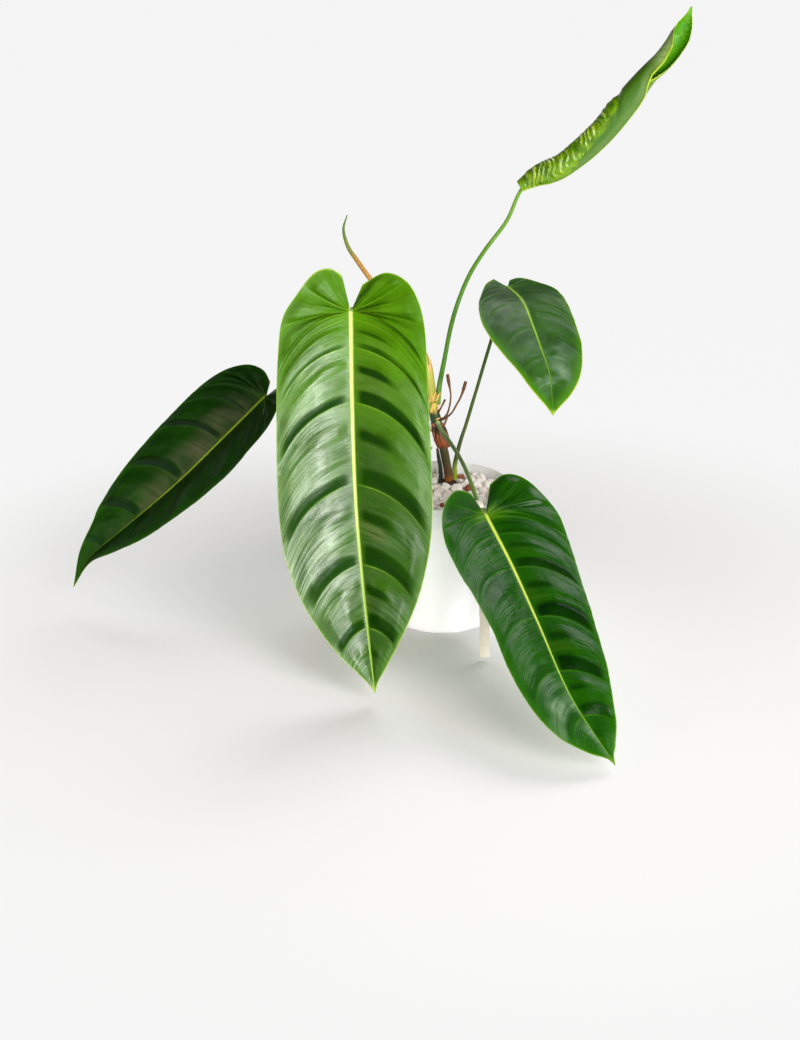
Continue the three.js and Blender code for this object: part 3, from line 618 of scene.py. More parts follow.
        # the rim: the margin column from the tip up, and the notch row in to the stalk
        for take in (lambda a: a[::-1, -1], lambda a: a[0, ::-1]):
            ring = np.stack([take(top), take(bottom)], 1)
            values = {k: np.stack([take(v)] * 2, 1) for k, v in common.items()}
            shape.add(ring, gridFaces(len(ring), 2, flip=side < 0), 2, **values)
    return shape.make(name + "_blade", materials, [name], sharp=58, weld=4e-3)


# Colours and gloss of each leaf, as seen on screen from 0 to 255
# In each leaf, the band colour is painted shade beside the veins, the pale sheen colour is a painted sheen and
# highlight in streaks and patches, and the tan colour is a painted tan reflection.
leafFinishes = {
    "leaf_front": {
        "deep": (30, 66, 0), "light": (44, 82, 2), "young": (78, 128, 6), "vein": (96, 132, 24),
        "rib": (190, 198, 120), "edge": (132, 158, 56), "margin": (50, 92, 3), "under": (126, 158, 88),
        "roughness": 0.32, "veinWidth": 0.85, "veinShow": 0.8, "striae": 0.34,
        "band": (16, 50, 0), "shadeBandShow": 1.0, "specular": 0.5, "sheen": (0.36, 0.85), "upper": 0.6,
        "paintedSheen": (146, 168, 132), "paintedSheenShow": (0.1, 0.52), "paintedSheenFrom": (-0.2, 0.9), "paintedSheenNear": 0.3,
        "paintedSheenReach": (0.4, 0.85, 1.7), "paintedSheenStreaks": 1.0, "paintedSheenPatch": (18, 0.32, 0.6),
        "tan": (100, 104, 46), "tanReflectionShow": 0.3,
    },
    "leaf_left": {
        "deep": (10, 45, 1), "light": (19, 60, 2), "young": (56, 104, 10), "vein": (40, 80, 10),
        "rib": (150, 172, 40), "edge": (66, 102, 18), "margin": (24, 70, 3), "under": (96, 130, 72),
        "roughness": 0.36, "veinWidth": 0.8, "veinShow": 0.35, "striae": 0.16,
        "band": (3, 30, 0), "shadeBandShow": 0.8, "specular": 0.15, "sheen": None, "upper": 0,
        "paintedSheen": (84, 82, 58), "paintedSheenShow": (0.0, 0.6), "paintedSheenFrom": (1.0, 0.35), "paintedSheenNear": 1.0,
        "paintedSheenReach": (0.1, 0.45, 0.0), "paintedSheenStreaks": 0.5, "paintedSheenPatch": (40, 0.3, 0.66),
        "tan": (0, 0, 0), "tanReflectionShow": 0,
    },
    "leaf_right_low": {
        "deep": (10, 56, 0), "light": (24, 74, 1), "young": (96, 146, 12), "vein": (58, 110, 10),
        "rib": (176, 190, 70), "edge": (88, 130, 12), "margin": (30, 82, 2), "under": (112, 150, 76),
        "roughness": 0.25, "veinWidth": 0.9, "veinShow": 0.55, "striae": 0.28,
        "band": (2, 30, 0), "shadeBandShow": 0.9, "specular": 0.17, "sheen": None, "upper": 0,
        "paintedSheen": (150, 176, 146), "paintedSheenShow": (0.0, 0.5), "paintedSheenFrom": (0.5, 0.85), "paintedSheenNear": 0.75,
        "paintedSheenReach": (0.4, 0.9, 0.3), "paintedSheenStreaks": 0.6, "paintedSheenPatch": (34, 0.4, 0.72),
        "tan": (96, 108, 40), "tanReflectionShow": 0.12,
    },
    "leaf_right_high": {
        "deep": (28, 60, 18), "light": (44, 84, 24), "young": (84, 136, 10), "vein": (54, 98, 24),
        "rib": (136, 174, 40), "edge": (146, 168, 14), "margin": (58, 112, 8), "under": (104, 140, 74),
        "roughness": 0.34, "veinWidth": 0.7, "veinShow": 0.16, "striae": 0.08,
        "band": (22, 54, 12), "shadeBandShow": 0.1, "specular": 0.11, "sheen": None, "upper": 0,
        "paintedSheen": (150, 172, 152), "paintedSheenShow": (0.48, 0.48), "paintedSheenFrom": (0.3, 0.8), "paintedSheenNear": 0.9,
        "paintedSheenReach": (0.45, 0.85, 0.1), "paintedSheenStreaks": 0.3, "paintedSheenPatch": (40, 0.42, 0.74),
        "tan": (0, 0, 0), "tanReflectionShow": 0,
    },
}


def striaeGroup():
    # fine parallel lines along the veins with uneven strength, as height and as a mask
    tree, n, given, out = newGroup("striae", [("Vector", "Surface", None)],
                                   [("Float", "Height"), ("Float", "Mask")])
    fine = n.noise(n.stretch(given["Surface"], (900, 60, 1)), 1.0, 2, 0.5, 0.3)
    broad = n.noise(n.stretch(given["Surface"], (260, 24, 1)), 1.0, 2, 0.55, 0.5)
    dimple = n.noise(n.stretch(given["Surface"], (420, 300, 1)), 1.0, 2, 0.5)
    height = n.math("MULTIPLY_ADD", broad, 1.6, fine)
    n.put(out["Height"], n.math("MULTIPLY_ADD", dimple, 0.4, height))
    n.put(out["Mask"], broad)
    return tree


striae = striaeGroup()


def leafTopMaterial(name, s):
    # dark green in the blade's body, lighter near the veins, margin and tip, pale veins and midrib
    material, n, shader = newMaterial(name + "_top", s["roughness"], s["specular"])
    place, surface = n.place(), n.surface()
    lines = useGroup(n, striae, Surface=surface)
    patches = n.noise(place, 26, 3, 0.6)
    colour = n.mix(n.ramp(patches, 0.3, 0.72), linear(*s["deep"]), linear(*s["light"]))
    colour = n.mix(n.ramp(lines.outputs["Mask"], 0.4, 0.75, 0, 0.35), colour, linear(*s["light"]))
    nearVein = n.math("MULTIPLY", n.ramp(n.value("veinGap"), 6.0, 0.5, 0, 0.45), n.ramp(n.value("t"), 0.02, 0.3))
    nearRib = n.ramp(n.value("ribGap"), 5.0, 1.0, 0, 0.5)
    nearEdge = n.ramp(n.value("edgeGap"), 9.0, 0.6, 0, 0.8)
    colour = n.mix(n.math("MAXIMUM", nearVein, nearRib), colour, linear(*s["light"]))
    colour = n.mix(nearEdge, colour, linear(*s["margin"]))
    # painted shade: the band colour darkens the blade in the bands on the base side of each vein
    shadeBandMask = n.math("MULTIPLY", n.value("band"), n.ramp(n.value("t"), 0.01, 0.12))
    shadeBandMask = n.math("MULTIPLY", shadeBandMask, n.ramp(n.value("t"), 0.97, 0.75, 0, s["shadeBandShow"]))
    shadeBandMask = n.math("MULTIPLY", shadeBandMask, n.ramp(n.value("lower"), 0.0, 0.04, 0.4, 1))
    colour = n.mix(shadeBandMask, colour, linear(*s["band"]))
    if s["upper"]:
        # the upper part is lighter and yellower
        upper = n.math("MULTIPLY", n.ramp(n.value("lower"), 0.5, 0.05, 0, s["upper"]), n.ramp(patches, 0.25, 0.65, 0.5, 1))
        colour = n.mix(n.math("MULTIPLY", upper, n.math("SUBTRACT", 1.0, shadeBandMask)), colour, linear(*s["young"]))
    if s["paintedSheenShow"][1]:
        # a painted pale sheen: highlight and reflection painted in streaks along the veins, mostly on one half;
        # its From, Near, Reach and Patch settings give where it begins and is full along the midrib, its share
        # next to the midrib, how far out it fades and what is left there, and the size and edges of its patches
        patch, low, high = s["paintedSheenPatch"]
        paintedSheen = n.math("MULTIPLY", n.ramp(n.value("side"), 0.2, -0.2, *s["paintedSheenShow"]),
                       n.ramp(lines.outputs["Mask"], 0.34, 0.68, 1 - s["paintedSheenStreaks"], 1))
        paintedSheen = n.math("MULTIPLY", paintedSheen, n.ramp(n.noise(place, patch, 2, 0.4), low, high))
        paintedSheen = n.math("MULTIPLY", paintedSheen, n.ramp(n.value("lower"), *s["paintedSheenFrom"], 0, 1.3))
        paintedSheen = n.math("MULTIPLY", paintedSheen, n.ramp(n.value("t"), 0.02, 0.3, s["paintedSheenNear"], 1))
        paintedSheen = n.math("MULTIPLY", paintedSheen, n.ramp(n.value("phase"), 0.05, 0.35, 0.5, 1))
        inner, outer, rest = s["paintedSheenReach"]
        paintedSheen = n.math("MULTIPLY", paintedSheen, n.ramp(n.value("t"), inner, outer, 1, rest))
        paintedSheen = n.math("MULTIPLY", paintedSheen, n.ramp(shadeBandMask, 0.3, 0.0))
        colour = n.mix(paintedSheen, colour, linear(*s["paintedSheen"]))
    # painted reflection: the tan colour mixed in streaks over those patches
    if s["tanReflectionShow"]:
        tan = n.math("MULTIPLY", n.value("tan"), n.ramp(lines.outputs["Mask"], 0.3, 0.65, 0, s["tanReflectionShow"]))
        colour = n.mix(tan, colour, linear(*s["tan"]))
    atNotch = n.math("MULTIPLY", n.ramp(n.value("lower"), 0.04, 0.0), n.ramp(n.value("t"), 0.3, 0.0, 0, 0.5))
    colour = n.mix(atNotch, colour, linear(*s["young"]))
    # veins: widest at the midrib, gone near the margin
    width = n.math("MULTIPLY_ADD", n.value("t"), -0.9, s["veinWidth"])
    vein = n.math("DIVIDE", n.value("veinGap"), n.math("MAXIMUM", width, 0.25))
    veinMask = n.math("MULTIPLY", n.ramp(vein, 1.15, 0.3), n.ramp(n.value("t"), 0.85, 0.1, 0.12, s["veinShow"]))
    veinMask = n.math("MULTIPLY", veinMask, n.ramp(n.value("t"), 0.02, 0.2, 0.4, 1))
    colour = n.mix(veinMask, colour, linear(*s["vein"]))
    ribMask = n.math("MULTIPLY", n.ramp(n.value("ribGap"), 1.12, 0.82), n.value("onRib"))
    core = n.math("MULTIPLY", n.ramp(n.value("ribGap"), 0.85, 0.35), n.value("onRib"))
    colour = n.mix(ribMask, colour, linear(*s["vein"]))
    core = n.math("MULTIPLY", core, n.ramp(n.value("lower"), 0.95, 0.3, 0.15, 1.0))
    colour = n.mix(core, colour, linear(*s["rib"]))
    colour = n.mix(n.ramp(n.value("edgeGap"), 1.0, 0.35, 0, 0.85), colour, linear(*s["edge"]))
    tip = n.ramp(n.value("lower"), 0.955, 1.0, 0, 0.8)
    colour = n.mix(tip, colour, linear(*s["edge"]))
    n.put(shader.inputs["Base Color"], colour)
    rough = n.ramp(n.noise(place, 60, 3, 0.6), 0.3, 0.75, s["roughness"] - 0.07, s["roughness"] + 0.1)
    rough = n.math("MULTIPLY_ADD", ribMask, 0.12, rough)
    n.put(shader.inputs["Roughness"], rough)
    if s["sheen"]:
        # the right and the left half differ in gloss; dull in the painted shade bands, the lobes and at the midrib
        shine = n.ramp(n.value("side"), 0.5, -0.5, *s["sheen"])
        shine = n.math("MULTIPLY", shine, n.ramp(n.value("lower"), 0.0, 0.14, 0.15, 1.0))
        shine = n.math("MULTIPLY", shine, n.ramp(n.value("t"), 0.05, 0.35, 0.6, 1.0))
        n.put(shader.inputs["Specular IOR Level"], n.math("MULTIPLY", shine, n.ramp(shadeBandMask, 0.0, 0.8, 1.0, 0.2)))
    addBump(n, shader, lines.outputs["Height"], s["striae"])
    return material


def leafUnderMaterial(name, s):
    # paler and duller than the top, with a light net of veins
    material, n, shader = newMaterial(name + "_under", 0.55, 0.4)
    place, surface = n.place(), n.surface()
    base = linear(*s["under"])
    dark = tuple(0.62 * c for c in base[:3]) + (1,)
    light = tuple(min(1, 1.35 * c) for c in base[:3]) + (1,)
    uneven = useGroup(n, mottle, Base=base, Second=dark, Third=light, Place=place, Size=40.0, Amount=0.6)
    lines = useGroup(n, striae, Surface=surface)
    colour = n.mix(n.ramp(lines.outputs["Mask"], 0.5, 0.75, 0, 0.4), uneven.outputs["Color"], light)
    colour = n.mix(n.ramp(n.value("veinGap"), 1.4, 0.5, 0, 0.8), colour, linear(*s["rib"]))
    rib = n.math("MULTIPLY", n.ramp(n.value("ribGap"), 1.6, 0.9, 0, 0.9), n.value("onRib"))
    colour = n.mix(rib, colour, linear(*s["rib"]))
    n.put(shader.inputs["Base Color"], colour)
    addBump(n, shader, lines.outputs["Height"], 0.09)
    return material


def leafEdgeMaterial(name, s):
    material, n, shader = newMaterial(name + "_edge", 0.5, 0.4)
    uneven = useGroup(n, mottle, Base=linear(*s["edge"]), Second=linear(*s["light"]),
                      Third=linear(*s["rib"]), Place=n.place(), Size=150.0, Amount=0.7)
    n.put(shader.inputs["Base Color"], uneven.outputs["Color"])
    return material


for leafName, leaf in leaves.items():
    finish = leafFinishes[leafName]
    leafMaterials = [leafTopMaterial(leafName, finish), leafUnderMaterial(leafName, finish),
                     leafEdgeMaterial(leafName, finish)]
    makeBlade(leafName, leaf, bladeSettings, leafMaterials)
print("leaf blades ready")


# Young leaf, still rolled

rolledLeaf = {
    "axis": [[78, 32, 463], [94, 30, 474], [117, 27, 484], [138, 24, 501], [157, 20, 520], [171, 16, 539],
             [185, 12, 557], [198, 8, 574], [211, 6, 588], [222, 4, 605], [229.5, 2, 622], [234, 0, 638]],
    "radius": [[0, 7.2], [0.05, 10], [0.12, 12.4], [0.3, 14], [0.5, 14.2], [0.62, 13.2], [0.7, 11.2],
               [0.8, 10.6], [0.88, 10], [0.93, 7], [0.97, 2.6], [1, 0.9]],
    # where the outer and the inner margin lie round the axis, in degrees: 0 is up and to the left,
    # 90 faces the front and 180 is down and to the right
    "outerTurn": [[0, 124], [0.06, 138], [0.12, 145], [0.3, 148], [0.5, 146], [0.58, 145], [0.63, 134], [0.67, 110],
                  [0.71, 92], [0.78, 88], [0.84, 76], [0.89, 40], [0.93, 0], [1, -40]],
    "innerTurn": [[0, -300], [0.12, -330], [0.55, -330], [0.64, -290], [0.7, -236], [0.76, -206],
                  [0.86, -192], [0.93, -172], [1, -140]],
    "flare": [[0, 0], [0.66, 0], [0.74, 1.4], [0.88, 2.4], [0.95, 1.0], [1, 0]],  # of the inner side
    "upperLeft": (-0.75, 0, 0.66),
    "midribAngle": -70,
    "tightness": 0.17,  # how much smaller the inner winding is
    "pleat": 1.7, "pleatLength": 13,
    "pleatTo": [[0, 175], [0.15, 138], [0.3, 108], [0.45, 82], [0.54, 60], [0.59, 0], [1, -60]],
    "thickness": 0.8,
    "rows": 340, "columns": 124,
}


def makeRolledLeaf(name, s, materials):
    # A sheet wound round the axis: the turn runs evenly from the inner margin (share -1) over the
    # midrib (0) to the outer margin (1), and its reach is the radius, less towards the inner margin.
    # Uneven pleats cross the upper left side of the outer winding, and it opens towards the tip.
    rows, columns = s["rows"] + 1, s["columns"] + 1
    path = smoothPath(s["axis"], rows)
    length = lengthOf(path)
    tangent = tangentsOf(path)
    along = np.linspace(0, 1, rows)[:, None] + np.zeros((1, columns))
    share = np.linspace(-1, 1, columns)[None, :] + 0 * along
    up = np.array(s["upperLeft"]) - (tangent @ np.array(s["upperLeft"]))[:, None] * tangent
    up = unit(up)
    front = np.cross(tangent, up)
    radius = lookUp(s["radius"], along)
    middle = s["midribAngle"]
    spread = np.radians(np.where(share > 0, lookUp(s["outerTurn"], along) - middle,
                                 middle - lookUp(s["innerTurn"], along)))
    half = spread * radius
    turn = math.radians(middle) + share * spread
    flat = np.stack([along * length, share * half, 0 * along], -1)
    drift = 2.6 * cellNoise(flat, 20, 61) + 1.5 * cellNoise(flat, 9, 62)
    limit = np.radians(lookUp(s["pleatTo"], along)) + 0.25 * cellNoise(flat, 18, 66)
    where = (1 - smoothStep(limit - 0.7, limit, turn)) * (share > -0.1) * smoothStep(0, 0.03, along)
    where = where * (0.3 + 0.7 * smoothStep(-0.1, 0.7, turn)) * (1 - smoothStep(0.55, 0.62, along))
    wave = np.sin(2 * np.pi * along * length / s["pleatLength"] + 1.2 * turn + drift)
    small = np.sin(2 * np.pi * along * length / (0.41 * s["pleatLength"]) - 1.6 * turn + 2.4 * drift)
    crease = (1 - np.abs(wave)) ** 1.6 * 2 - 0.8
    lump = roughNoise(flat * np.array([1.3, 0.6, 1]), 9, 63)
    crumple = s["pleat"] * where * (0.6 * crease * (0.6 + 0.7 * lump) + 0.1 * small + 0.8 * lump)
    winding = 1 + s["tightness"] * (share - 1) * np.minimum(1, half / 30)
    slow = 0.5 * cellNoise(flat, 30, 64) * np.minimum(1, half / 20)
    reach = radius * winding + crumple + slow * np.minimum(1, half / 30)
    # the outer margin lifts a little from the winding below it
    lifted = smoothStep(0.9, 1, share) * np.minimum(1, half / 20)
    reach = reach + lifted * (0.7 + 0.5 * cellNoise(flat, 26, 65))
    reach = reach + lookUp(s["flare"], along) * smoothStep(0, 1, -share)
    # a fold across the outer side where the pleats end
    fold = along - 0.5 - 0.055 * np.cos(turn) + 0.012 * cellNoise(flat, 14, 67)
    reach = reach - 1.5 * np.exp(-(fold / 0.018) ** 2) * (1 - smoothStep(1.2, 1.9, turn)) * (share > -0.1)
    point = path[:, None] + up[:, None] * (reach * np.cos(turn))[..., None]
    point = point + front[:, None] * (reach * np.sin(turn))[..., None]
    normal = np.cross(np.gradient(point, axis=1), np.gradient(point, axis=0))
    normal = unit(normal)
    outward = unit(point - path[:, None])
    normal = normal * np.sign((normal * outward).sum(-1, keepdims=True))
    edge = np.minimum(1, (1 - np.abs(share)) * half / 1.2)
    depth = s["thickness"] * (0.6 + 0.4 * edge) / 2
    rib = np.exp(-(share * half / 1.7) ** 2) * (1 - along) ** 0.6
    outer = point + normal * (depth + 1.4 * rib)[..., None]
    inner = point - normal * depth[..., None]
    spacing = 15.0
    phase = ((along * length - 0.8 * np.abs(share) * half) / spacing) % 1
    common = {
        "u": (along * length - 0.8 * np.abs(share) * half) / 1000, "v": share * half / 1000,
        "veinGap": np.minimum(phase, 1 - phase) * spacing, "ribGap": np.abs(share) * half / 2,
        "edgeGap": (1 - np.abs(share)) * half, "share": along, "side": share, "crumple": where,
        "ridge": crumple, "facing": 1 - smoothStep(limit - 0.5, limit + 0.5, turn),
    }
    faces = gridFaces(rows, columns)
    shape = Shape()
    shape.add(outer, faces, 0, **common)
    shape.add(inner, faces[:, ::-1], 1, **common)
    for take, flip in ((lambda a: a[:, -1], False), (lambda a: a[:, 0], True),
                       (lambda a: a[0], False), (lambda a: a[-1], True)):
        ring = np.stack([take(outer), take(inner)], 1)
        values = {k: np.stack([take(v)] * 2, 1) for k, v in common.items()}
        shape.add(ring, gridFaces(len(ring), 2, flip=flip), 2, **values)
    return shape.make(name, materials, ["leaf_young"], sharp=60, weld=3e-3)


# the crease colour is a painted highlight on the ridges of the pleats, the dark outer colour also paints shade in their
# hollows, and the pale band colour is a painted silvery sheen
rolledLook = {
    "outer": (92, 128, 4), "outerDark": (46, 90, 0), "outerPale": (122, 152, 18),
    "crease": (156, 174, 56), "band": (50, 90, 1), "paleBandSheen": (118, 142, 80),
    "inner": (64, 130, 0), "innerDark": (40, 106, 0), "innerPale": (92, 148, 4),
    "edge": (150, 168, 30), "vein": (84, 124, 40), "tip": (130, 160, 30),
}


def rolledOuterMaterial(s):
    # pale yellow-green pleated side with painted highlights on its ridges and painted shade in its hollows, running
    # into a smoother grey-green band with a painted silvery sheen, and a yellow margin
    material, n, shader = newMaterial("young_leaf_outer", 0.3, 0.48)
    place, surface = n.place(), n.surface()
    lines = useGroup(n, striae, Surface=surface)
    uneven = useGroup(n, mottle, Base=linear(*s["outer"]), Second=linear(*s["outerDark"]),
                      Third=linear(*s["outerPale"]), Place=place, Size=70.0, Amount=0.8)
    # painted highlight on the raised pleats and painted shade in the hollows between them
    colour = n.mix(n.ramp(n.value("ridge"), 0.25, 1.1, 0, 0.6), uneven.outputs["Color"], linear(*s["crease"]))
    colour = n.mix(n.ramp(n.value("ridge"), -0.1, -0.8, 0, 0.6), colour, linear(*s["outerDark"]))
    streaks = n.ramp(lines.outputs["Mask"], 0.2, 0.8, 0.55, 1.0)
    # painted sheen: a silvery stripe along the band near the margin, and paler towards the tip
    sheenStripe = n.math("MULTIPLY", n.ramp(n.value("edgeGap"), 1.5, 3.5), n.ramp(n.value("edgeGap"), 12.0, 6.0))
    silverSheen = n.math("MAXIMUM", n.math("MULTIPLY", sheenStripe, 0.3), n.ramp(n.value("share"), 0.7, 0.78))
    band = n.mix(n.math("MULTIPLY", streaks, silverSheen), linear(*s["band"]), linear(*s["paleBandSheen"]))
    colour = n.mix(n.ramp(n.value("facing"), 0.7, 0.35), colour, band)
    colour = n.mix(n.ramp(n.value("veinGap"), 0.7, 0.2, 0, 0.06), colour, linear(*s["vein"]))
    colour = n.mix(n.ramp(n.value("edgeGap"), 1.9, 0.9, 0, 0.9), colour, linear(*s["edge"]))
    colour = n.mix(n.ramp(n.value("share"), 0.95, 0.99, 0, 0.85), colour, linear(*s["tip"]))
    n.put(shader.inputs["Base Color"], colour)
    n.put(shader.inputs["Roughness"], n.ramp(n.value("facing"), 0.1, 0.8, 0.4, 0.22))
    addBump(n, shader, lines.outputs["Height"], 0.04)
    return material


def rolledInnerMaterial(s):
    # deep fresh green, paler towards the margin
    material, n, shader = newMaterial("young_leaf_inner", 0.4, 0.5)
    lines = useGroup(n, striae, Surface=n.surface())
    uneven = useGroup(n, mottle, Base=linear(*s["inner"]), Second=linear(*s["innerDark"]),
                      Third=linear(*s["innerPale"]), Place=n.place(), Size=50.0, Amount=0.7)
    colour = n.mix(n.ramp(n.value("edgeGap"), 6.0, 1.0, 0, 0.7), uneven.outputs["Color"], linear(*s["innerPale"]))
    colour = n.mix(n.ramp(n.value("veinGap"), 1.0, 0.3, 0, 0.5), colour, linear(*s["innerPale"]))
    n.put(shader.inputs["Base Color"], colour)
    addBump(n, shader, lines.outputs["Height"], 0.06)
    return material


def plainMottled(name, base, second, third, size, amount, roughness, bump=0.05, bumpSize=600.0, specular=0.5):
    # one uneven colour with a fine relief
    material, n, shader = newMaterial(name, roughness, specular)
    place = n.place()
    uneven = useGroup(n, mottle, Base=linear(*base), Second=linear(*second), Third=linear(*third),
                      Place=place, Size=size, Amount=amount)
    n.put(shader.inputs["Base Color"], uneven.outputs["Color"])
    relief = useGroup(n, grain, Place=place, Size=bumpSize, Pits=0.4)
    addBump(n, shader, relief.outputs["Height"], bump)
    return material


youngEdge = plainMottled("young_leaf_edge", rolledLook["edge"], rolledLook["outer"], rolledLook["paleBandSheen"],
                         200.0, 0.6, 0.45)
makeRolledLeaf("rolled_leaf", rolledLeaf, [rolledOuterMaterial(rolledLook), rolledInnerMaterial(rolledLook),
                                          youngEdge])
print("rolled leaf ready")


# Stalks, spike, stem and roots

canes = {
    "stalk_front": {
        "path": [[-14.6, 23.4, 229], [-27, 6, 262], [-50, -30, 318], [-76, -80, 360], [-90, -108, 369],
                 [-92, -125, 371.2]],
        "radii": [3.2, 2.7, 2.5, 2.5, 2.4, 2.4, 2.8], "groove": 0.22, "ridges": 0.06, "wobble": 0.14,
    },
    "stalk_left": {
        "path": [[-14.9, 34.6, 222], [-52, 36, 258], [-104, 32, 279], [-150, 26, 268], [-178, 16, 249],
                 [-187, 10.6, 243.4]],
        "radii": [2.8, 2.3, 2.1, 2.1, 2.1, 2.1, 2.4], "groove": 0.2, "ridges": 0.05, "wobble": 0.12,
    },
    "stalk_right_low": {
        "path": [[-5, 23.3, 212.4], [-0.5, 12, 206.5], [6, -4, 202], [15.5, -32, 195], [24, -64, 186],
                 [33, -104, 170], [39, -122.6, 159.6]],
        "radii": [2.5, 2.3, 2.1, 2.1, 2.1, 2.2, 2.4], "groove": 0.2, "ridges": 0.06, "wobble": 0.12,
    },
    "stalk_right_high": {
        "path": [[15.5, 44, 139], [15.6, 45, 156], [17.5, 46, 167], [22, 49, 184], [26.6, 52, 198],
                 [38.4, 57, 239], [53.2, 62, 292], [69.7, 64.6, 348.7]],
        "radii": [2.9, 2.4, 2, 1.9, 1.8, 1.8, 1.8, 1.8, 1.9], "groove": 0.2, "ridges": 0.05, "wobble": 0.1,
    },
    "stalk_young": {
        "path": [[-4.5, 36.2, 229], [-2.9, 36.5, 250], [2.4, 36, 280], [8.4, 36, 314], [17, 36, 345],
                 [28, 35.5, 372], [43, 35, 397], [65, 34, 428], [76, 32.6, 454.6], [83, 31.4, 467]],
        "radii": [3.2, 2.7, 2.4, 2.4, 2.3, 2.2, 2.1, 2, 1.8], "groove": 0.14, "ridges": 0.03, "wobble": 0.08,
    },
    "new_spike": {
        "path": [[-11, 30, 233.4], [-14, 30, 253], [-19, 30, 280], [-32, 31, 306], [-46, 32, 326],
                 [-63, 33, 349], [-78, 33, 369], [-92, 33, 389], [-99, 33, 400], [-104, 32, 419],
                 [-100, 32, 434]],
        "radii": [4, 4.6, 4.8, 4.9, 4.4, 3.6, 3, 2.7, 2.6, 2.5, 2.2, 1.5, 0.6],
        "groove": 0.05, "ridges": 0.07, "wobble": 0.1,
    },
    "stem": {
        "path": [[11, 40, 84], [10, 39, 112], [8.5, 38, 139], [7.5, 37, 153], [4.5, 36, 168], [1, 34, 184],
                 [-3, 32, 201], [-7, 30, 216], [-10.8, 30, 233.1]],
        "radii": [1.5, 3.6, 4.6, 5, 5, 4.8, 4.6, 4.5, 4.6, 4.8, 5, 5.2, 5.6, 6, 5.4, 4.4],
        "groove": 0.0, "ridges": 0.22, "wobble": 0.3,
    },
    "live_root": {
        "path": [[-1, 41, 122], [-0.4, 39, 141], [-0.6, 36.5, 150], [-1.4, 34, 160], [-3.4, 32.5, 170],
                 [-4.6, 32.4, 179.3]],
        "radii": [1.2, 2.2, 2.4, 2.5, 2.4, 2.1, 1.4], "groove": 0.0, "ridges": 0.05, "wobble": 0.22,
    },
}


def caneReach(path, radii, s, around, seed):
    # the radius at each point: even steps through the list, a groove on the front, ridges along
    # the tube, and slow swellings
    share = np.linspace(0, 1, len(path))[:, None]
    a = np.linspace(0, 2 * np.pi, around, endpoint=False)[None, :]
    reach = evenly(radii, share) + 0 * a
    along = np.linspace(0, lengthOf(path), len(path))[:, None] + 0 * a
    spot = np.stack([4 * np.cos(a) + 0 * along, 4 * np.sin(a) + 0 * along, along * 0.12], -1)
    reach = reach - s["groove"] * np.exp(-((np.mod(a - 0.5 * np.pi + np.pi, 2 * np.pi) - np.pi) / 0.5) ** 2)
    reach = reach + s["ridges"] * roughNoise(spot * 2.4, 3.2, seed, 3)
    spot[..., 2] *= 4
    return reach + s["wobble"] * cellNoise(spot, 6, seed + 3)


def makeCane(name, s, materials, pieceName=None, around=44, step=0.9, seed=1):
    rough = smoothPath(s["path"], 600)
    count = int(lengthOf(rough) / step) + 2
    path = smoothPath(s["path"], count)
    reach = caneReach(path, s["radii"], s, around, seed)
    shape = Shape()
    addTube(shape, path, reach, around, (-0.05, -1, 0.1))
    return shape.make(pieceName or name, materials, [name], sharp=75)


def caneMaterial(name, stops, roughness=0.42, streak=0.3, bump=0.06, specular=0.5, speckle=(90, 70, 40), pale=0.3):
    # colours from the foot to the end as [share, (r, g, b)], with streaks along the tube
    material, n, shader = newMaterial(name, roughness, specular)
    straight, share = n.vector("straight"), n.value("share")
    fine = n.noise(n.stretch(straight, (900, 900, 22)), 1.0, 3, 0.6)
    broad = n.noise(n.stretch(straight, (300, 300, 30)), 1.0, 2, 0.5)
    drift = n.math("MULTIPLY_ADD", n.math("SUBTRACT", broad, 0.5), 0.06, share)
    colour = linear(*stops[0][1])
    for (low, _), (high, after) in zip(stops[:-1], stops[1:]):
        colour = n.mix(n.ramp(drift, low, high), colour, linear(*after))
    dark = n.mix(1.0, colour, (0.55, 0.55, 0.5, 1), "MULTIPLY")
    lighter = n.mix(0.45, colour, (0.62, 0.66, 0.42, 1))
    colour = n.mix(n.ramp(fine, 0.42, 0.7, 0, streak), colour, dark)
    colour = n.mix(n.ramp(broad, 0.5, 0.78, 0, pale), colour, lighter)
    spots = n.noise(n.stretch(straight, (420, 420, 160)), 1.0, 2, 0.5)
    colour = n.mix(n.ramp(spots, 0.69, 0.76, 0, 0.55), colour, linear(*speckle))
    n.put(shader.inputs["Base Color"], colour)
    addBump(n, shader, n.math("MULTIPLY_ADD", broad, 1.2, fine), bump)
    return material


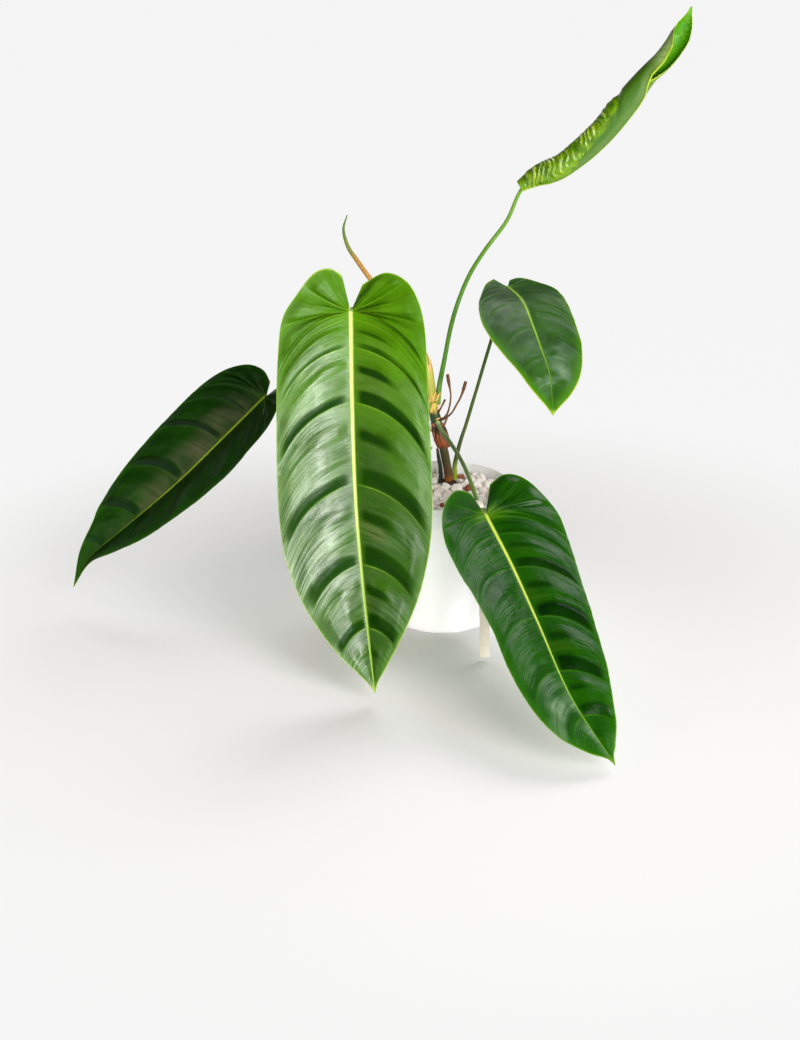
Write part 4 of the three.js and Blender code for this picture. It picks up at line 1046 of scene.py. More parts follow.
caneLooks = {
    "stalk_front": ([[0, (110, 134, 50)], [0.12, (80, 112, 36)], [0.85, (92, 126, 52)], [1, (150, 168, 90)]],
                    "stalk_green", 0.42),
    "stalk_left": ([[0, (110, 134, 60)], [0.2, (70, 98, 40)], [0.9, (86, 116, 52)], [1, (130, 150, 70)]],
                   "stalk_green", 0.42),
    "stalk_right_low": ([[0, (166, 172, 118)], [0.04, (98, 116, 68)], [0.3, (76, 102, 50)],
                         [0.9, (92, 124, 44)], [1, (150, 176, 60)]], "stalk_green", 0.42),
    "stalk_right_high": ([[0, (150, 170, 30)], [0.05, (132, 160, 30)], [0.12, (58, 76, 16)],
                          [0.85, (52, 78, 14)], [1, (90, 120, 50)]], "stalk_green", 0.5),
    "stalk_young": ([[0, (120, 146, 44)], [0.08, (66, 112, 26)], [0.5, (66, 114, 22)],
                     [1, (96, 140, 34)]], "stalk_green", 0.36),
    "new_spike": ([[0, (122, 146, 40)], [0.16, (150, 150, 50)], [0.3, (172, 122, 56)], [0.6, (180, 124, 54)],
                   [0.76, (172, 126, 46)], [0.86, (110, 124, 30)], [0.93, (72, 112, 18)], [1, (66, 106, 16)]],
                  "spike_sheath", 0.4),
    "stem": ([[0, (44, 32, 20)], [0.36, (66, 44, 22)], [0.39, (150, 84, 24)], [0.44, (84, 56, 26)],
              [0.54, (66, 60, 26)], [0.84, (74, 74, 30)], [0.87, (20, 48, 10)], [0.92, (20, 48, 10)],
              [0.94, (128, 104, 40)], [0.97, (176, 160, 60)], [1, (168, 160, 54)]], "stem_olive", 0.5),
    "live_root": ([[0, (40, 36, 26)], [0.3, (34, 42, 30)], [0.6, (40, 52, 38)], [1, (50, 48, 32)]],
                  "live_root_green", 0.55),
}
for k, (caneName, cane) in enumerate(canes.items()):
    stops, slotName, rough = caneLooks[caneName]
    woody = caneName in ("stem", "live_root")
    material = caneMaterial(caneName + "_skin", stops, rough, 0.6 if woody else 0.25, 0.25 if woody else 0.06,
                            specular=0.35, pale=0.12 if woody else 0.18)
    makeCane(caneName, cane, [material], caneName + "_cane", seed=70 + 3 * k,
             step=0.45 if caneName in ("stem", "live_root") else 0.9)

dryRoots = {
    "dry_root_fork": [
        {"path": [[-1.2, 25.5, 214.4], [9, 25, 221], [16, 24, 233], [21, 24, 245], [25, 24, 258]],
         "radii": [1.7, 1.2, 1, 1, 1, 1.2, 1.9, 1.7]},
        {"path": [[1, 26.3, 214.5], [5, 25, 221], [8, 24, 232], [9, 24, 243], [7, 24, 255], [5.5, 24, 266]],
         "radii": [1.5, 1.1, 1, 1, 1, 1.2, 1.9, 1.7]},
        {"path": [[6, 25.5, 219], [4, 25, 213], [1.5, 24.5, 206]], "radii": [1.1, 1.1, 0.9]},
    ],
    "dry_root_short": [
        {"path": [[-3.9, 25.6, 223.5], [-1, 24.6, 229], [3, 24, 238]], "radii": [1.1, 1, 1.3]},
    ],
}
dryRootRelief = {"groove": 0.0, "ridges": 0.16, "wobble": 0.24}


def makeDryRoots():
    look = caneMaterial("dry_root_skin", [[0, (70, 48, 30)], [0.5, (112, 80, 50)], [1, (96, 64, 38)]], 0.8,
                        0.7, 0.3, 0.3, (44, 30, 20))
    for name, branches in dryRoots.items():
        shape = Shape()
        for k, branch in enumerate(branches):
            path = smoothPath(branch["path"], int(lengthOf(smoothPath(branch["path"], 300)) / 0.4))
            path = path + 0.35 * np.stack([cellNoise(path, 7, 90 + k), cellNoise(path, 7, 95 + k),
                                           0 * path[:, 0]], 1) * smoothStep(0, 3, np.arange(len(path)))[:, None]
            addTube(shape, path, caneReach(path, branch["radii"], dryRootRelief, 26, 80 + 5 * k), 26)
        shape.make(name + "_skin", [look], [name], sharp=75)


makeDryRoots()
print("stalks and stem ready")


# Torn sheaths round the stem and the spike

sheaths = {
    "old_sheath": {"round": "stem", "low": 181, "high": 209, "thickness": 1, "turn": (-160, 160),
                   "reach": (8.6, 7), "tear": 3},
    "paper_sheath": {"round": "new_spike", "low": 236, "high": 292, "thickness": 0.8, "turn": (-110, 50),
                     "reach": (6.1, 6.1), "tear": 16},
}


def makeSheath(name, s, materials, rough, seed):
    # a sheet round the path: reach between its end and middle values by sin(pi share), its top
    # torn down by tear |sin(2.6 turn + 1)|, with ridges along its height
    path = smoothPath(canes[s["round"]]["path"], 900)
    rows, columns = 90, 150
    share = np.linspace(0, 1, rows)[:, None] + np.zeros((1, columns))
    turn = np.radians(np.linspace(s["turn"][0], s["turn"][1], columns))[None, :] + 0 * share
    spot = np.stack([8 * np.cos(turn), 8 * np.sin(turn), 8 * share], -1)
    fringe = 1.6 * roughNoise(spot * 3, 5, seed, 3)
    top = s["high"] - s["tear"] * np.abs(np.sin(2.6 * turn + 1)) + fringe[-1:] * rough
    z = s["low"] + (top - s["low"]) * share
    centre = np.stack([np.interp(z, path[:, 2], path[:, k]) for k in (0, 1)], -1)
    middle, end = s["reach"]
    fibres = np.stack([10 * np.cos(turn), 10 * np.sin(turn), 0.9 * share], -1)
    reach = end + (middle - end) * np.sin(np.pi * share)
    reach = reach + 0.5 * rough * roughNoise(fibres, 2.2, seed + 1, 3) + 0.5 * rough * cellNoise(spot, 6, seed + 2)
    side = np.stack([np.cos(turn), np.sin(turn)], -1)
    half = 0.5 * s["thickness"] * (1 - 0.6 * smoothStep(0.85, 1, share))
    outer = np.concatenate([centre + side * (reach + half)[..., None], z[..., None]], -1)
    inner = np.concatenate([centre + side * (reach - half)[..., None], z[..., None]], -1)
    values = {"share": share, "side": turn / np.pi, "ridge": reach,
              "straight": np.stack([8 * np.cos(turn), 8 * np.sin(turn), z - s["low"]], -1) / 1000}
    faces = gridFaces(rows, columns)
    shape = Shape()
    shape.add(outer, faces, 0, **values)
    shape.add(inner, faces[:, ::-1], 0, **values)
    for take, flip in ((lambda a: a[:, -1], False), (lambda a: a[:, 0], True),
                       (lambda a: a[0], False), (lambda a: a[-1], True)):
        ring = np.stack([take(outer), take(inner)], 1)
        rim = {k: np.stack([take(v)] * 2, 1) for k, v in values.items()}
        shape.add(ring, gridFaces(len(ring), 2, flip=flip), 0, **rim)
    addStrips(shape, strips[name], seed + 5)
    return shape.make(name + "_skin", materials, [name], sharp=70)


# Loose strips, scales and fibres at the crown, as flat bands: width and depth are half sizes and
# taper to the end
strips = {
    "paper_sheath": [
        {"path": [[-8, 25, 234], [-5.6, 23.4, 239], [-3.6, 23.6, 244], [-1.6, 24.6, 246]], "width": 1.1, "depth": 0.18},
        {"path": [[-10.6, 24.6, 236], [-9, 23.4, 242], [-7.4, 23.4, 247], [-6.6, 25, 249]], "width": 0.9, "depth": 0.16},
        {"path": [[-14.6, 25.4, 229], [-14, 24, 236], [-12.6, 24, 243], [-13.4, 25, 248]], "width": 1.3, "depth": 0.18},
        {"path": [[-16.5, 27, 228], [-17.8, 25, 236], [-17, 25, 246]], "width": 1.3, "depth": 0.18},
        {"path": [[-12, 24.8, 222], [-11.4, 23.6, 228], [-9.8, 23.4, 235]], "width": 1.5, "depth": 0.2},
        {"path": [[-7.4, 25, 223.5], [-4.8, 23.6, 228], [-2.8, 23.2, 234]], "width": 0.6, "depth": 0.4},
        {"path": [[-7.6, 25, 214.5], [-4.9, 23.6, 216], [-1.8, 23.6, 218]], "width": 0.8, "depth": 0.3},
    ],
    "old_sheath": [
        {"path": [[-12, 25.6, 211], [-9, 22.6, 209], [-6, 22.6, 206.5]], "width": 1.3, "depth": 0.3},
        {"path": [[-14, 28, 208], [-12.6, 24.6, 204], [-9.8, 22.8, 201]], "width": 1.2, "depth": 0.3},
        {"path": [[-10.5, 25.4, 184], [-12.6, 25, 179], [-14.4, 25.6, 176]], "width": 0.6, "depth": 0.35},
        {"path": [[-2.2, 25.6, 205], [0.6, 25, 209], [2.2, 25.4, 213]], "width": 0.8, "depth": 0.3},
        {"path": [[-12.8, 27, 196], [-13.6, 25.6, 191], [-12.4, 25, 186]], "width": 0.8, "depth": 0.3},
        {"path": [[-6, 23.4, 201], [-4.4, 22.8, 195], [-4, 24.4, 189]], "width": 0.9, "depth": 0.3},
        {"path": [[-9.6, 24, 205], [-8.8, 22.6, 198], [-8.6, 23.6, 190]], "width": 0.7, "depth": 0.3},
    ],
}


def addStrips(shape, listed, seed):
    # half width and half depth fall by (1 - share^3) to a ragged point
    around = 14
    share, a = np.meshgrid(np.linspace(0, 1, 60), np.linspace(0, 2 * np.pi, around, endpoint=False), indexing="ij")
    for k, strip in enumerate(listed):
        path = smoothPath(strip["path"], 60)
        ragged = 1 + 0.35 * cellNoise(np.stack([share * 40, 3 * np.cos(a), 0 * a + seed + k], -1), 4)
        width = strip["width"] * (1 - share ** 3) * (0.5 + 0.5 * smoothStep(0, 0.15, share)) + 0.06
        depth = strip["depth"] * (1 - 0.7 * share ** 2)
        reach = 1 / np.sqrt((np.cos(a) / width) ** 2 + (np.sin(a) / depth) ** 2) * ragged
        addTube(shape, path, reach, around, (-0.2, -1, 0.3), 1)


stripLook = {
    "paper_sheath": [[0, (120, 88, 44)], [0.25, (196, 168, 86)], [0.65, (208, 156, 92)], [1, (206, 118, 46)]],
    "old_sheath": [[0, (80, 44, 26)], [0.4, (140, 84, 58)], [1, (74, 42, 26)]],
}
oldSheathLook = caneMaterial("old_sheath_skin", [[0, (104, 56, 26)], [0.3, (134, 66, 34)], [0.55, (104, 54, 28)],
                                                 [0.75, (60, 42, 24)], [1, (38, 30, 18)]], 0.75, 0.9, 0.5, 0.3,
                             (30, 26, 16))
paperLook = caneMaterial("paper_sheath_skin", [[0, (176, 140, 70)], [0.25, (146, 146, 54)], [0.7, (152, 150, 54)],
                                               [1, (200, 154, 104)]], 0.6, 0.4, 0.2, 0.4, (190, 110, 70))
oldStripLook, paperStripLook = (caneMaterial(name + "_strip", stripLook[name], 0.65, 0.6, 0.3, 0.3, (120, 60, 30))
                                for name in ("old_sheath", "paper_sheath"))
makeSheath("old_sheath", sheaths["old_sheath"], [oldSheathLook, oldStripLook], 1.5, 101)
makeSheath("paper_sheath", sheaths["paper_sheath"], [paperLook, paperStripLook], 0.5, 111)
print("sheaths ready")


# Pot

pot = {
    "height": 150, "footRadius": 59, "bodyRadius": 66.5, "bodyHeight": 9, "rimRadius": 76,
    "wall": 2.6, "floor": 4, "corner": 8, "around": 216,
}


def potRadius(z):
    return pot["bodyRadius"] + (z - pot["bodyHeight"]) / (pot["height"] - pot["bodyHeight"]) * (
        pot["rimRadius"] - pot["bodyRadius"])


def lathe(shape, profile, around, slot=0, wobble=0.0, seed=0, centre=(0, 0), **values):
    # a [radius, z] profile turned round the upright through the centre; both ends lie on it
    p = np.array(profile, float)
    a = np.linspace(0, 2 * np.pi, around, endpoint=False)[None, :]
    r, z = p[:, :1] + 0 * a, p[:, 1:] + 0 * a
    if wobble:
        ring = np.stack([3 * np.cos(a) + 0 * r, 3 * np.sin(a) + 0 * r, z * 0.02], -1)
        r = r + wobble * cellNoise(ring, 2.5, seed) * smoothStep(0, 20, r)
    points = np.stack([centre[0] + r * np.cos(a), centre[1] + r * np.sin(a), z], -1)
    shape.add(points, gridFaces(len(p), around, wrapped=True), slot, **values)


def roundCorner(centre, radius, first, last, count):
    turn = np.radians(np.linspace(first, last, count))
    return [[centre[0] + radius * math.cos(x), centre[1] + radius * math.sin(x)] for x in turn]


def makePot(material):
    foot, body = pot["footRadius"], pot["bodyRadius"]
    outside = [[0, 0], [foot * 0.5, 0], [foot - 1.2, 0]]
    for turn in np.linspace(4, 86, 14):
        outside.append([foot + (body - foot) * math.sin(math.radians(turn)),
                        pot["bodyHeight"] * (1 - math.cos(math.radians(turn)))])
    outside += [[potRadius(z), z] for z in np.linspace(pot["bodyHeight"], pot["height"] - 1.4, 24)]
    lip = pot["wall"] / 2
    outside += roundCorner((pot["rimRadius"] - lip, pot["height"] - lip), lip, 0, 180, 13)
    low = pot["floor"] + pot["corner"]
    inside = [[potRadius(z) - pot["wall"], z] for z in np.linspace(pot["height"] - 1.4, low, 20)]
    inside += [[foot + 2, pot["floor"] + 2], [foot - 1, pot["floor"]], [0, pot["floor"]]]
    shape = Shape()
    lathe(shape, outside + inside, pot["around"], wobble=0.12, seed=7)
    return shape.make("pot_shell", [material], ["pot"], sharp=50)


potLook = plainMottled("pot_plastic", (240, 241, 243), (234, 235, 238), (244, 245, 246), 18.0, 0.5, 0.34,
                       0.012, 900.0)
makePot(potLook)
print("pot ready")


# Soil with its mound

soil = {"top": 128.8, "moundTop": 140.5, "moundRadius": 13, "moundAt": (8, 39), "clods": 190, "around": 240}


def makeBall(level):
    # points and triangles of a ball of radius 1, from a 20-sided one cut finer
    build = bmesh.new()
    bmesh.ops.create_icosphere(build, subdivisions=level, radius=1)
    points = np.array([v.co[:] for v in build.verts])
    faces = np.array([[v.index for v in f.verts] for f in build.faces])
    build.free()
    return points, faces


balls = {level: makeBall(level) for level in (1, 2, 3, 4)}


def brokenStones(centres, sizes, level, rng, planes=11, flatness=0.86, sharpness=13, rough=0.06, grainSize=0.5):
    # A ball's points pulled in to random planes: 1 / reach is the sharpness-th root of the sum of
    # (direction . normal / distance) to that power. Then a turn, a flattening and a rough skin.
    points, faces = balls[level]
    n = len(centres)
    normals = unit(rng.normal(size=(n, planes, 3)))
    distances = rng.uniform(0.62, 0.98, (n, planes))
    facing = np.einsum("pk,njk->npj", points, normals).clip(0.02) / distances[:, None, :]
    reach = ((facing ** sharpness).sum(-1) + 0.9 ** sharpness * 0.35) ** (-1 / sharpness)
    reach = reach / reach.max(1, keepdims=True)
    spot = points[None] * 1.0 + np.arange(n)[:, None, None] * 7.3
    reach = reach * (1 + rough * roughNoise(spot, grainSize, 5, 3))
    stretch = rng.uniform(0.8, 1.0, (n, 1, 3)) * np.array([1, 1, flatness])
    shapes = points[None] * reach[..., None] * stretch * np.asarray(sizes)[:, None, None]
    return shapes + np.asarray(centres)[:, None, :], faces


def addStones(shape, stones, faces, slot=0, tint=None):
    count = stones.shape[1]
    whole = (faces[None] + np.arange(len(stones))[:, None, None] * count).reshape(-1, 3)
    tint = np.zeros(len(stones)) if tint is None else tint
    shape.add(stones, whole, slot, tint=np.repeat(tint, count))


def makeSoil(material, s):
    # A disk on rings round the mound's middle, reaching to the pot's wall, then down its wall and
    # in under. The mound rises by a smooth step, with crumbs of three sizes.
    shape = Shape()
    a = np.linspace(0, 2 * np.pi, s["around"], endpoint=False)
    mx, my = s["moundAt"]
    wallRadius = potRadius(s["top"]) - pot["wall"] - 0.3
    along = mx * np.cos(a) + my * np.sin(a)
    toWall = -along + np.sqrt(along ** 2 - mx ** 2 - my ** 2 + wallRadius ** 2)
    steps = np.concatenate([np.linspace(0, 16, 44), 16 * 1.28 ** np.arange(1, 7)])[:, None]
    reach = np.minimum(steps, 16) + (toWall[None, :] - 16) * smoothStep(16, steps.max(), np.maximum(steps, 16))
    x, y = mx + reach * np.cos(a), my + reach * np.sin(a)
    spot = np.stack([x, y, 0 * x], -1)
    crumbs = 0.9 * roughNoise(spot, 5, 31, 4) + 0.35 * cellNoise(spot, 1.1, 33)
    rise = (s["moundTop"] - 1.2 - s["top"]) * (1 - smoothStep(s["moundRadius"] - 5, s["moundRadius"] + 0.2, reach))
    z = s["top"] - 0.9 + rise + crumbs * np.where(reach < s["moundRadius"], 1, 0.4)
    top = np.stack([x, y, z], -1)
    rings = [top]
    for r, height in ((wallRadius, s["top"] - 6), (potRadius(40) - pot["wall"] - 0.4, 40),
                      (potRadius(13) - pot["wall"] - 0.5, 13), (pot["footRadius"] - 2, pot["floor"] + 0.3), (0, pot["floor"] + 0.3)):
        turn = np.arctan2(my + toWall * np.sin(a), mx + toWall * np.cos(a))
        rings.append(np.stack([r * np.cos(turn), r * np.sin(turn), height + 0 * a], -1)[None])
    whole = np.concatenate(rings)
    shape.add(whole, gridFaces(len(whole), s["around"], wrapped=True, flip=True), 0, tint=0.0)
    rng = np.random.default_rng(41)
    turn, share = rng.uniform(0, 2 * np.pi, s["clods"]), np.sqrt(rng.uniform(0, 1, s["clods"]))
    reach = share * (s["moundRadius"] - 2.6)
    sizes = rng.uniform(0.6, 2.3, s["clods"]) * (1 - 0.3 * share)
    height = s["moundTop"] - 1.3 - 2.6 * share ** 3 + rng.uniform(-0.6, 0.5, s["clods"])
    centres = np.stack([mx + reach * np.cos(turn), my + reach * np.sin(turn), height], 1)
    stones, faces = brokenStones(centres, sizes, 2, rng, 9, 0.85, 9, 0.14, 0.6)
    addStones(shape, stones, faces, 0, rng.uniform(-1, 1, s["clods"]))
    return shape.make("potting_mix", [material], ["soil"], sharp=40)


def crumbMaterial(name, base, second, third, roughness, size, bump, tintLow, tintHigh):
    # mottled and rough, each stone a little lighter or darker by its tint, with painted shade in its pits
    material, n, shader = newMaterial(name, roughness, 0.3)
    place = n.place()
    uneven = useGroup(n, mottle, Base=linear(*base), Second=linear(*second), Third=linear(*third),
                      Place=place, Size=size, Amount=0.8)
    colour = n.mix(n.ramp(n.value("tint"), 0.1, 1.0, 0, 0.5), uneven.outputs["Color"], linear(*tintHigh))
    colour = n.mix(n.ramp(n.value("tint"), -0.1, -1.0, 0, 0.5), colour, linear(*tintLow))
    relief = useGroup(n, grain, Place=place, Size=size * 5, Pits=0.8)
    # painted shade: the pits are darkened towards the second colour
    colour = n.mix(n.math("MULTIPLY", relief.outputs["Pit"], 0.5), colour, linear(*second))
    n.put(shader.inputs["Base Color"], colour)
    addBump(n, shader, relief.outputs["Height"], bump)
    return material


soilLook = crumbMaterial("potting_mix", (62, 44, 30), (34, 24, 17), (94, 70, 48), 0.9, 160.0, 0.5,
                         (40, 28, 20), (84, 60, 40))
makeSoil(soilLook, soil)
print("soil ready")


# Pale stones and dark ones on top

gravel = {
    "bedTop": 134.5, "stoneLow": 136, "stoneHigh": 139.5, "rings": [7, 19.5, 32, 44, 55, 65],
    "spacing": 13.6, "jitter": 0.35, "smallest": 6.0, "largest": 8.6, "around": 180,
}
lavaStones = [([29, 15], 6.6), ([22.5, 54], 5.6), ([-1, -33], 4.6), ([-44, 22], 6.2)]


def gravelPlaces(rings, spacing, rng):
    places = []
    for ring in rings:
        count = round(2 * math.pi * ring / spacing)
        turn = rng.uniform(0, 6.28) + (np.arange(count) + gravel["jitter"] * rng.uniform(-0.5, 0.5, count)) * (
            2 * math.pi / count)
        reach = ring + 0.13 * spacing * rng.uniform(-0.5, 0.5, count)
        places.append(np.stack([reach * np.cos(turn), reach * np.sin(turn)], 1))
    return np.vstack(places)


def makeGravel(material, s):
    # One layer of larger broken stones on rings with random shifts, smaller ones below and between
    # them, and a plain bed that they stand in.
    rng = np.random.default_rng(20)
    shape = Shape()
    bedRadius = potRadius(129) - pot["wall"] - 0.8
    mx, my = soil["moundAt"]
    for rings, spacing, low, high, small, large, level in (
            (s["rings"], s["spacing"], s["stoneLow"], s["stoneHigh"], s["smallest"], s["largest"], 3),
            ([13, 25.5, 38, 49.5, 60, 68.5], 8.6, 134.6, 137.4, 3.2, 5.2, 2)):
        places = gravelPlaces(rings, spacing, rng)
        sizes = rng.uniform(small, large, len(places))
        height = rng.uniform(low, high, len(places))
        clear = np.hypot(places[:, 0] - mx, places[:, 1] - my) > soil["moundRadius"] + 0.4 * sizes
        for at, size in lavaStones:
            clear &= np.hypot(places[:, 0] - at[0], places[:, 1] - at[1]) > size + 0.25 * sizes
        places, sizes, height = places[clear], sizes[clear], height[clear]
        limit = potRadius(height) - pot["wall"] - 0.4 - 0.93 * sizes
        places = places * np.minimum(1, limit / np.hypot(*places.T))[:, None]
        centres = np.column_stack([places, height])
        stones, faces = brokenStones(centres, sizes * 1.06, level, rng, 10, 0.86, 24, 0.035, 0.3)
        addStones(shape, stones, faces, 0, rng.uniform(-1, 1, len(sizes)))
    a = np.linspace(0, 2 * np.pi, s["around"], endpoint=False)
    along = mx * np.cos(a) + my * np.sin(a)
    outer = -along + np.sqrt(along ** 2 - mx ** 2 - my ** 2 + bedRadius ** 2)
    inner = np.full_like(a, soil["moundRadius"] + 0.6)
    rings = []
    for reach, z in ((inner, 129.2), (outer, 129.2), (outer, s["bedTop"] - 0.4), (0.5 * (inner + outer), s["bedTop"]),
                     (inner + 2, s["bedTop"]), (inner, s["bedTop"] - 0.6), (inner, 129.2)):
        rings.append(np.stack([mx + reach * np.cos(a), my + reach * np.sin(a), z + 0 * a], -1))
    # painted shade: the bed under and between the stones is tinted darker
    shape.add(np.array(rings), gridFaces(len(rings), s["around"], wrapped=True), 0, tint=-0.6)
    return shape.make("pumice_gravel", [material], ["gravel"], sharp=22)


pumiceLook = crumbMaterial("pumice", (244, 239, 236), (226, 210, 206), (250, 248, 246), 0.86, 120.0, 0.28,
                           (232, 214, 210), (252, 249, 246))
lavaLook = crumbMaterial("lava_rock", (146, 78, 54), (96, 48, 36), (180, 108, 74), 0.9, 170.0, 0.5,
                         (112, 56, 42), (170, 98, 64))
makeGravel(pumiceLook, gravel)


def makeLava(material):
    rng = np.random.default_rng(77)
    for k, (at, size) in enumerate(lavaStones):
        centre = [[at[0], at[1], gravel["bedTop"] + 0.75 * size]]
        stones, faces = brokenStones(centre, [size], 4, rng, 13, 0.86, 14, 0.0)
        points = stones[0]
        middle = np.array(centre[0])
        holes = cellNoise(points, 1.5, 200 + k)
        pits = -0.5 * smoothStep(0.25, 0.6, holes) + 0.22 * roughNoise(points, 2.6, 210 + k, 3)
        stones[0] = points + unit(points - middle) * (pits * (size / 6))[:, None]
        shape = Shape()
        addStones(shape, stones, faces, 0, np.array([0.3 * (-1) ** k]))
        shape.make(f"lava_rock_{k + 1}", [material], [f"lava_stone_{k + 1}"], sharp=50)


makeLava(lavaLook)
print("stones ready")


# Strip label hung on the low right stalk

label = {
    "width": 10.5, "thickness": 0.55, "foot": (42.5, -124, 4), "bow": 2.5, "twistFrom": 40, "twistTo": 118,
    "hungAt": 0.9, "loopRadius": 6.4, "loopRoom": 0.6,
}


def makeLabel(material, s):
    # up from its free end, turning towards the stalk, and once round it in a loop
    stalk = smoothPath(canes["stalk_right_low"]["path"], 1001)
    at = int(s["hungAt"] * 1000)
    along = tangentsOf(stalk)[at]
    down = unit(np.array([0, 0, -1.0]) + along * along[2])
    aside = np.cross(down, along)
    hang = s["loopRadius"] - 2.25 - 0.3 - s["thickness"] / 2
    centre = stalk[at] + down * hang
    foot = np.array(s["foot"], float)
    neck = centre + down * (s["loopRadius"] + s["loopRoom"])
    t = np.linspace(0, 1, 90)[:, None]
    rise = foot + (neck - foot) * t + np.array([1.0, 0, 0]) * s["bow"] * np.sin(np.pi * t)
    twist = smoothStep(s["twistFrom"], s["twistTo"], rise[:, 2:])
    sides = unit(np.array([1, 0.1, 0]) / 1.00499 * (1 - twist) - along * twist)
    turn = np.linspace(0, 2 * np.pi, 82)[1:-3, None]
    reach = s["loopRadius"] + s["loopRoom"] * (1 - turn / (2 * np.pi))
    loop = centre + down * reach * np.cos(turn) + aside * reach * np.sin(turn)
    middle = np.vstack([rise, loop])
    sides = np.vstack([sides, np.broadcast_to(-along, loop.shape)])
    ahead = unit(np.gradient(middle, axis=0))
    sides = unit(sides - (sides * ahead).sum(1, keepdims=True) * ahead)
    normal = np.cross(ahead, sides)
    half, thick = s["width"] / 2, s["thickness"] / 2
    corner = [(-half + 0.2, thick), (half - 0.2, thick), (half, 0.4 * thick), (half, -0.4 * thick),
              (half - 0.2, -thick), (-half + 0.2, -thick), (-half, -0.4 * thick), (-half, 0.4 * thick)]
    columns = []
    for x, y in corner:
        columns.append(middle + sides * x + normal * y)
    rings = np.stack(columns, 1)
    first, last = rings[:1].mean(1, keepdims=True), rings[-1:].mean(1, keepdims=True)
    rings = np.concatenate([np.broadcast_to(first, rings[:1].shape), rings, np.broadcast_to(last, rings[:1].shape)])
    shape = Shape()
    shape.add(rings, gridFaces(len(rings), len(corner), wrapped=True, flip=True), 0)
    return shape.make("strip_label", [material], ["plant_label"], sharp=40)


labelLook = plainMottled("label_paper", (206, 199, 186), (192, 184, 170), (214, 208, 198), 60.0, 0.5, 0.55,
                         0.02, 900.0)
makeLabel(labelLook, label)
print("label ready")


# Floor and light

studio = {
    "floor": (238, 238, 239),
    "floorSize": 60.0,
    "farWhite": 0.9, "farFrom": 0.1, "farTo": 0.75,
    "worldUp": 0.1,
    "ringFrom": 0.06, "ringTo": 0.5,  # the pale ring low round the room
    "ringBack": 0.95, "ringFront": 0.3,
    "backColour": (1, 0.995, 0.98), "frontColour": (1, 0.84, 0.66),
    "backTowards": (0.35, 0.94, 0), "backFrom": -0.25, "backTo": 0.55,
    "cameraWhite": 0.93,
    "key": {"place": (1.1, -2.1, 0.95), "size": (1.3, 1.8), "power": 80, "colour": (1, 0.985, 0.96)},
    "fill": {"place": (0.32, -2.3, 0.12), "size": (0.7, 0.2), "power": 34, "colour": (1, 0.99, 0.97),
             "mirrored": False},
    "left": {"place": (-1.6, -1.4, 0.95), "size": (0.6, 0.6), "power": 3.5, "colour": (1, 0.86, 0.7)},
    "sun": {"turn": 146, "rise": 54, "strength": 1.4, "angle": 34},
}


def areaLight(name, s):
    data = bpy.data.lights.new(name, "AREA")
    data.shape = "RECTANGLE"
    data.size, data.size_y = s["size"]
    data.energy = s["power"]
    data.color = s["colour"]
    light = bpy.data.objects.new(name, data)
    light.location = s["place"]
    aim = np.array([0.0, 0.0, 0.25]) - np.array(s["place"])
    pitch = math.atan2(math.hypot(aim[0], aim[1]), -aim[2])
    light.rotation_euler = (pitch, 0, math.atan2(aim[1], aim[0]) - math.pi / 2)
    light.visible_camera = False
    light.visible_glossy = s.get("mirrored", True)
    bpy.context.scene.collection.objects.link(light)


def sunLight(name, s):
    # turn is from the front towards the right, rise is over the horizon, both in degrees
    data = bpy.data.lights.new(name, "SUN")
    data.energy = s["strength"]
    data.angle = math.radians(s["angle"])
    light = bpy.data.objects.new(name, data)
    light.rotation_euler = (math.radians(90 - s["rise"]), 0, math.radians(s["turn"]))
    light.location = (0.5, 0.5, 1.5)
    bpy.context.scene.collection.objects.link(light)


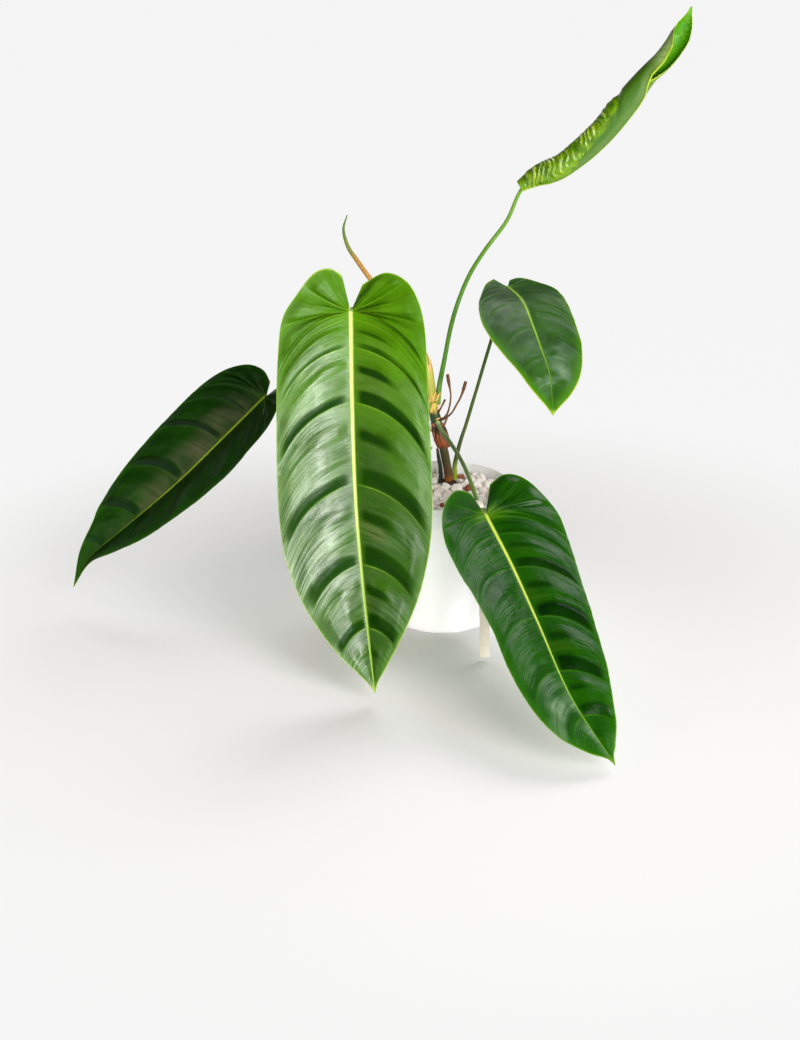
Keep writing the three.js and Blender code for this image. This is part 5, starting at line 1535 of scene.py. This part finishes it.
def makeStudio(s):
    half = s["floorSize"] / 2
    mesh = bpy.data.meshes.new("studio_floor")
    mesh.from_pydata([(-half, -half, 0), (half, -half, 0), (half, half, 0), (-half, half, 0)], [], [(0, 1, 2, 3)])
    floor = bpy.data.objects.new("studio_floor", mesh)
    bpy.context.scene.collection.objects.link(floor)
    material, n, shader = newMaterial("studio_floor", 0.7, 0.0)
    far = n.add("ShaderNodeVectorMath", {0: n.place()}, operation="LENGTH").outputs["Value"]
    far = n.ramp(far, s["farFrom"], s["farTo"])
    n.put(shader.inputs["Base Color"], n.mix(far, linear(*s["floor"]), (0.02, 0.02, 0.02, 1)))
    shader.inputs["Emission Color"].default_value = (1, 1, 1, 1)
    n.put(shader.inputs["Emission Strength"], n.math("MULTIPLY", far, s["farWhite"]))
    mesh.materials.append(material)
    for name in ("key", "fill", "left"):
        areaLight(name + "_light", s[name])
    sunLight("sun_light", s["sun"])
    world = bpy.data.worlds.new("studio")
    bpy.context.scene.world = world
    world.use_nodes = True
    world.node_tree.nodes.clear()
    n = Nodes(world.node_tree)
    look = n.add("ShaderNodeTexCoord").outputs["Generated"]
    height = n.add("ShaderNodeSeparateXYZ", {0: look}).outputs[2]
    turned = n.add("ShaderNodeVectorMath", {0: look, 1: s["backTowards"]}, operation="DOT_PRODUCT").outputs["Value"]
    back = n.ramp(turned, s["backFrom"], s["backTo"])
    ring = n.ramp(back, 0, 1, s["ringFront"], s["ringBack"])
    low = n.ramp(height, s["ringTo"], s["ringFrom"])
    level = n.math("MULTIPLY_ADD", low, n.math("SUBTRACT", ring, s["worldUp"]), s["worldUp"])
    tint = n.mix(back, s["frontColour"] + (1,), s["backColour"] + (1,))
    soft = n.add("ShaderNodeBackground", {"Color": tint, "Strength": level})
    white = n.add("ShaderNodeBackground", {"Color": (1, 1, 1, 1), "Strength": s["cameraWhite"]})
    seen = n.add("ShaderNodeLightPath").outputs["Is Camera Ray"]
    both = n.add("ShaderNodeMixShader", {0: seen, 1: soft, 2: white})
    n.put(n.add("ShaderNodeOutputWorld").inputs[0], both)


makeStudio(studio)
bpy.context.scene.view_settings.view_transform = "Standard"
print("studio ready")
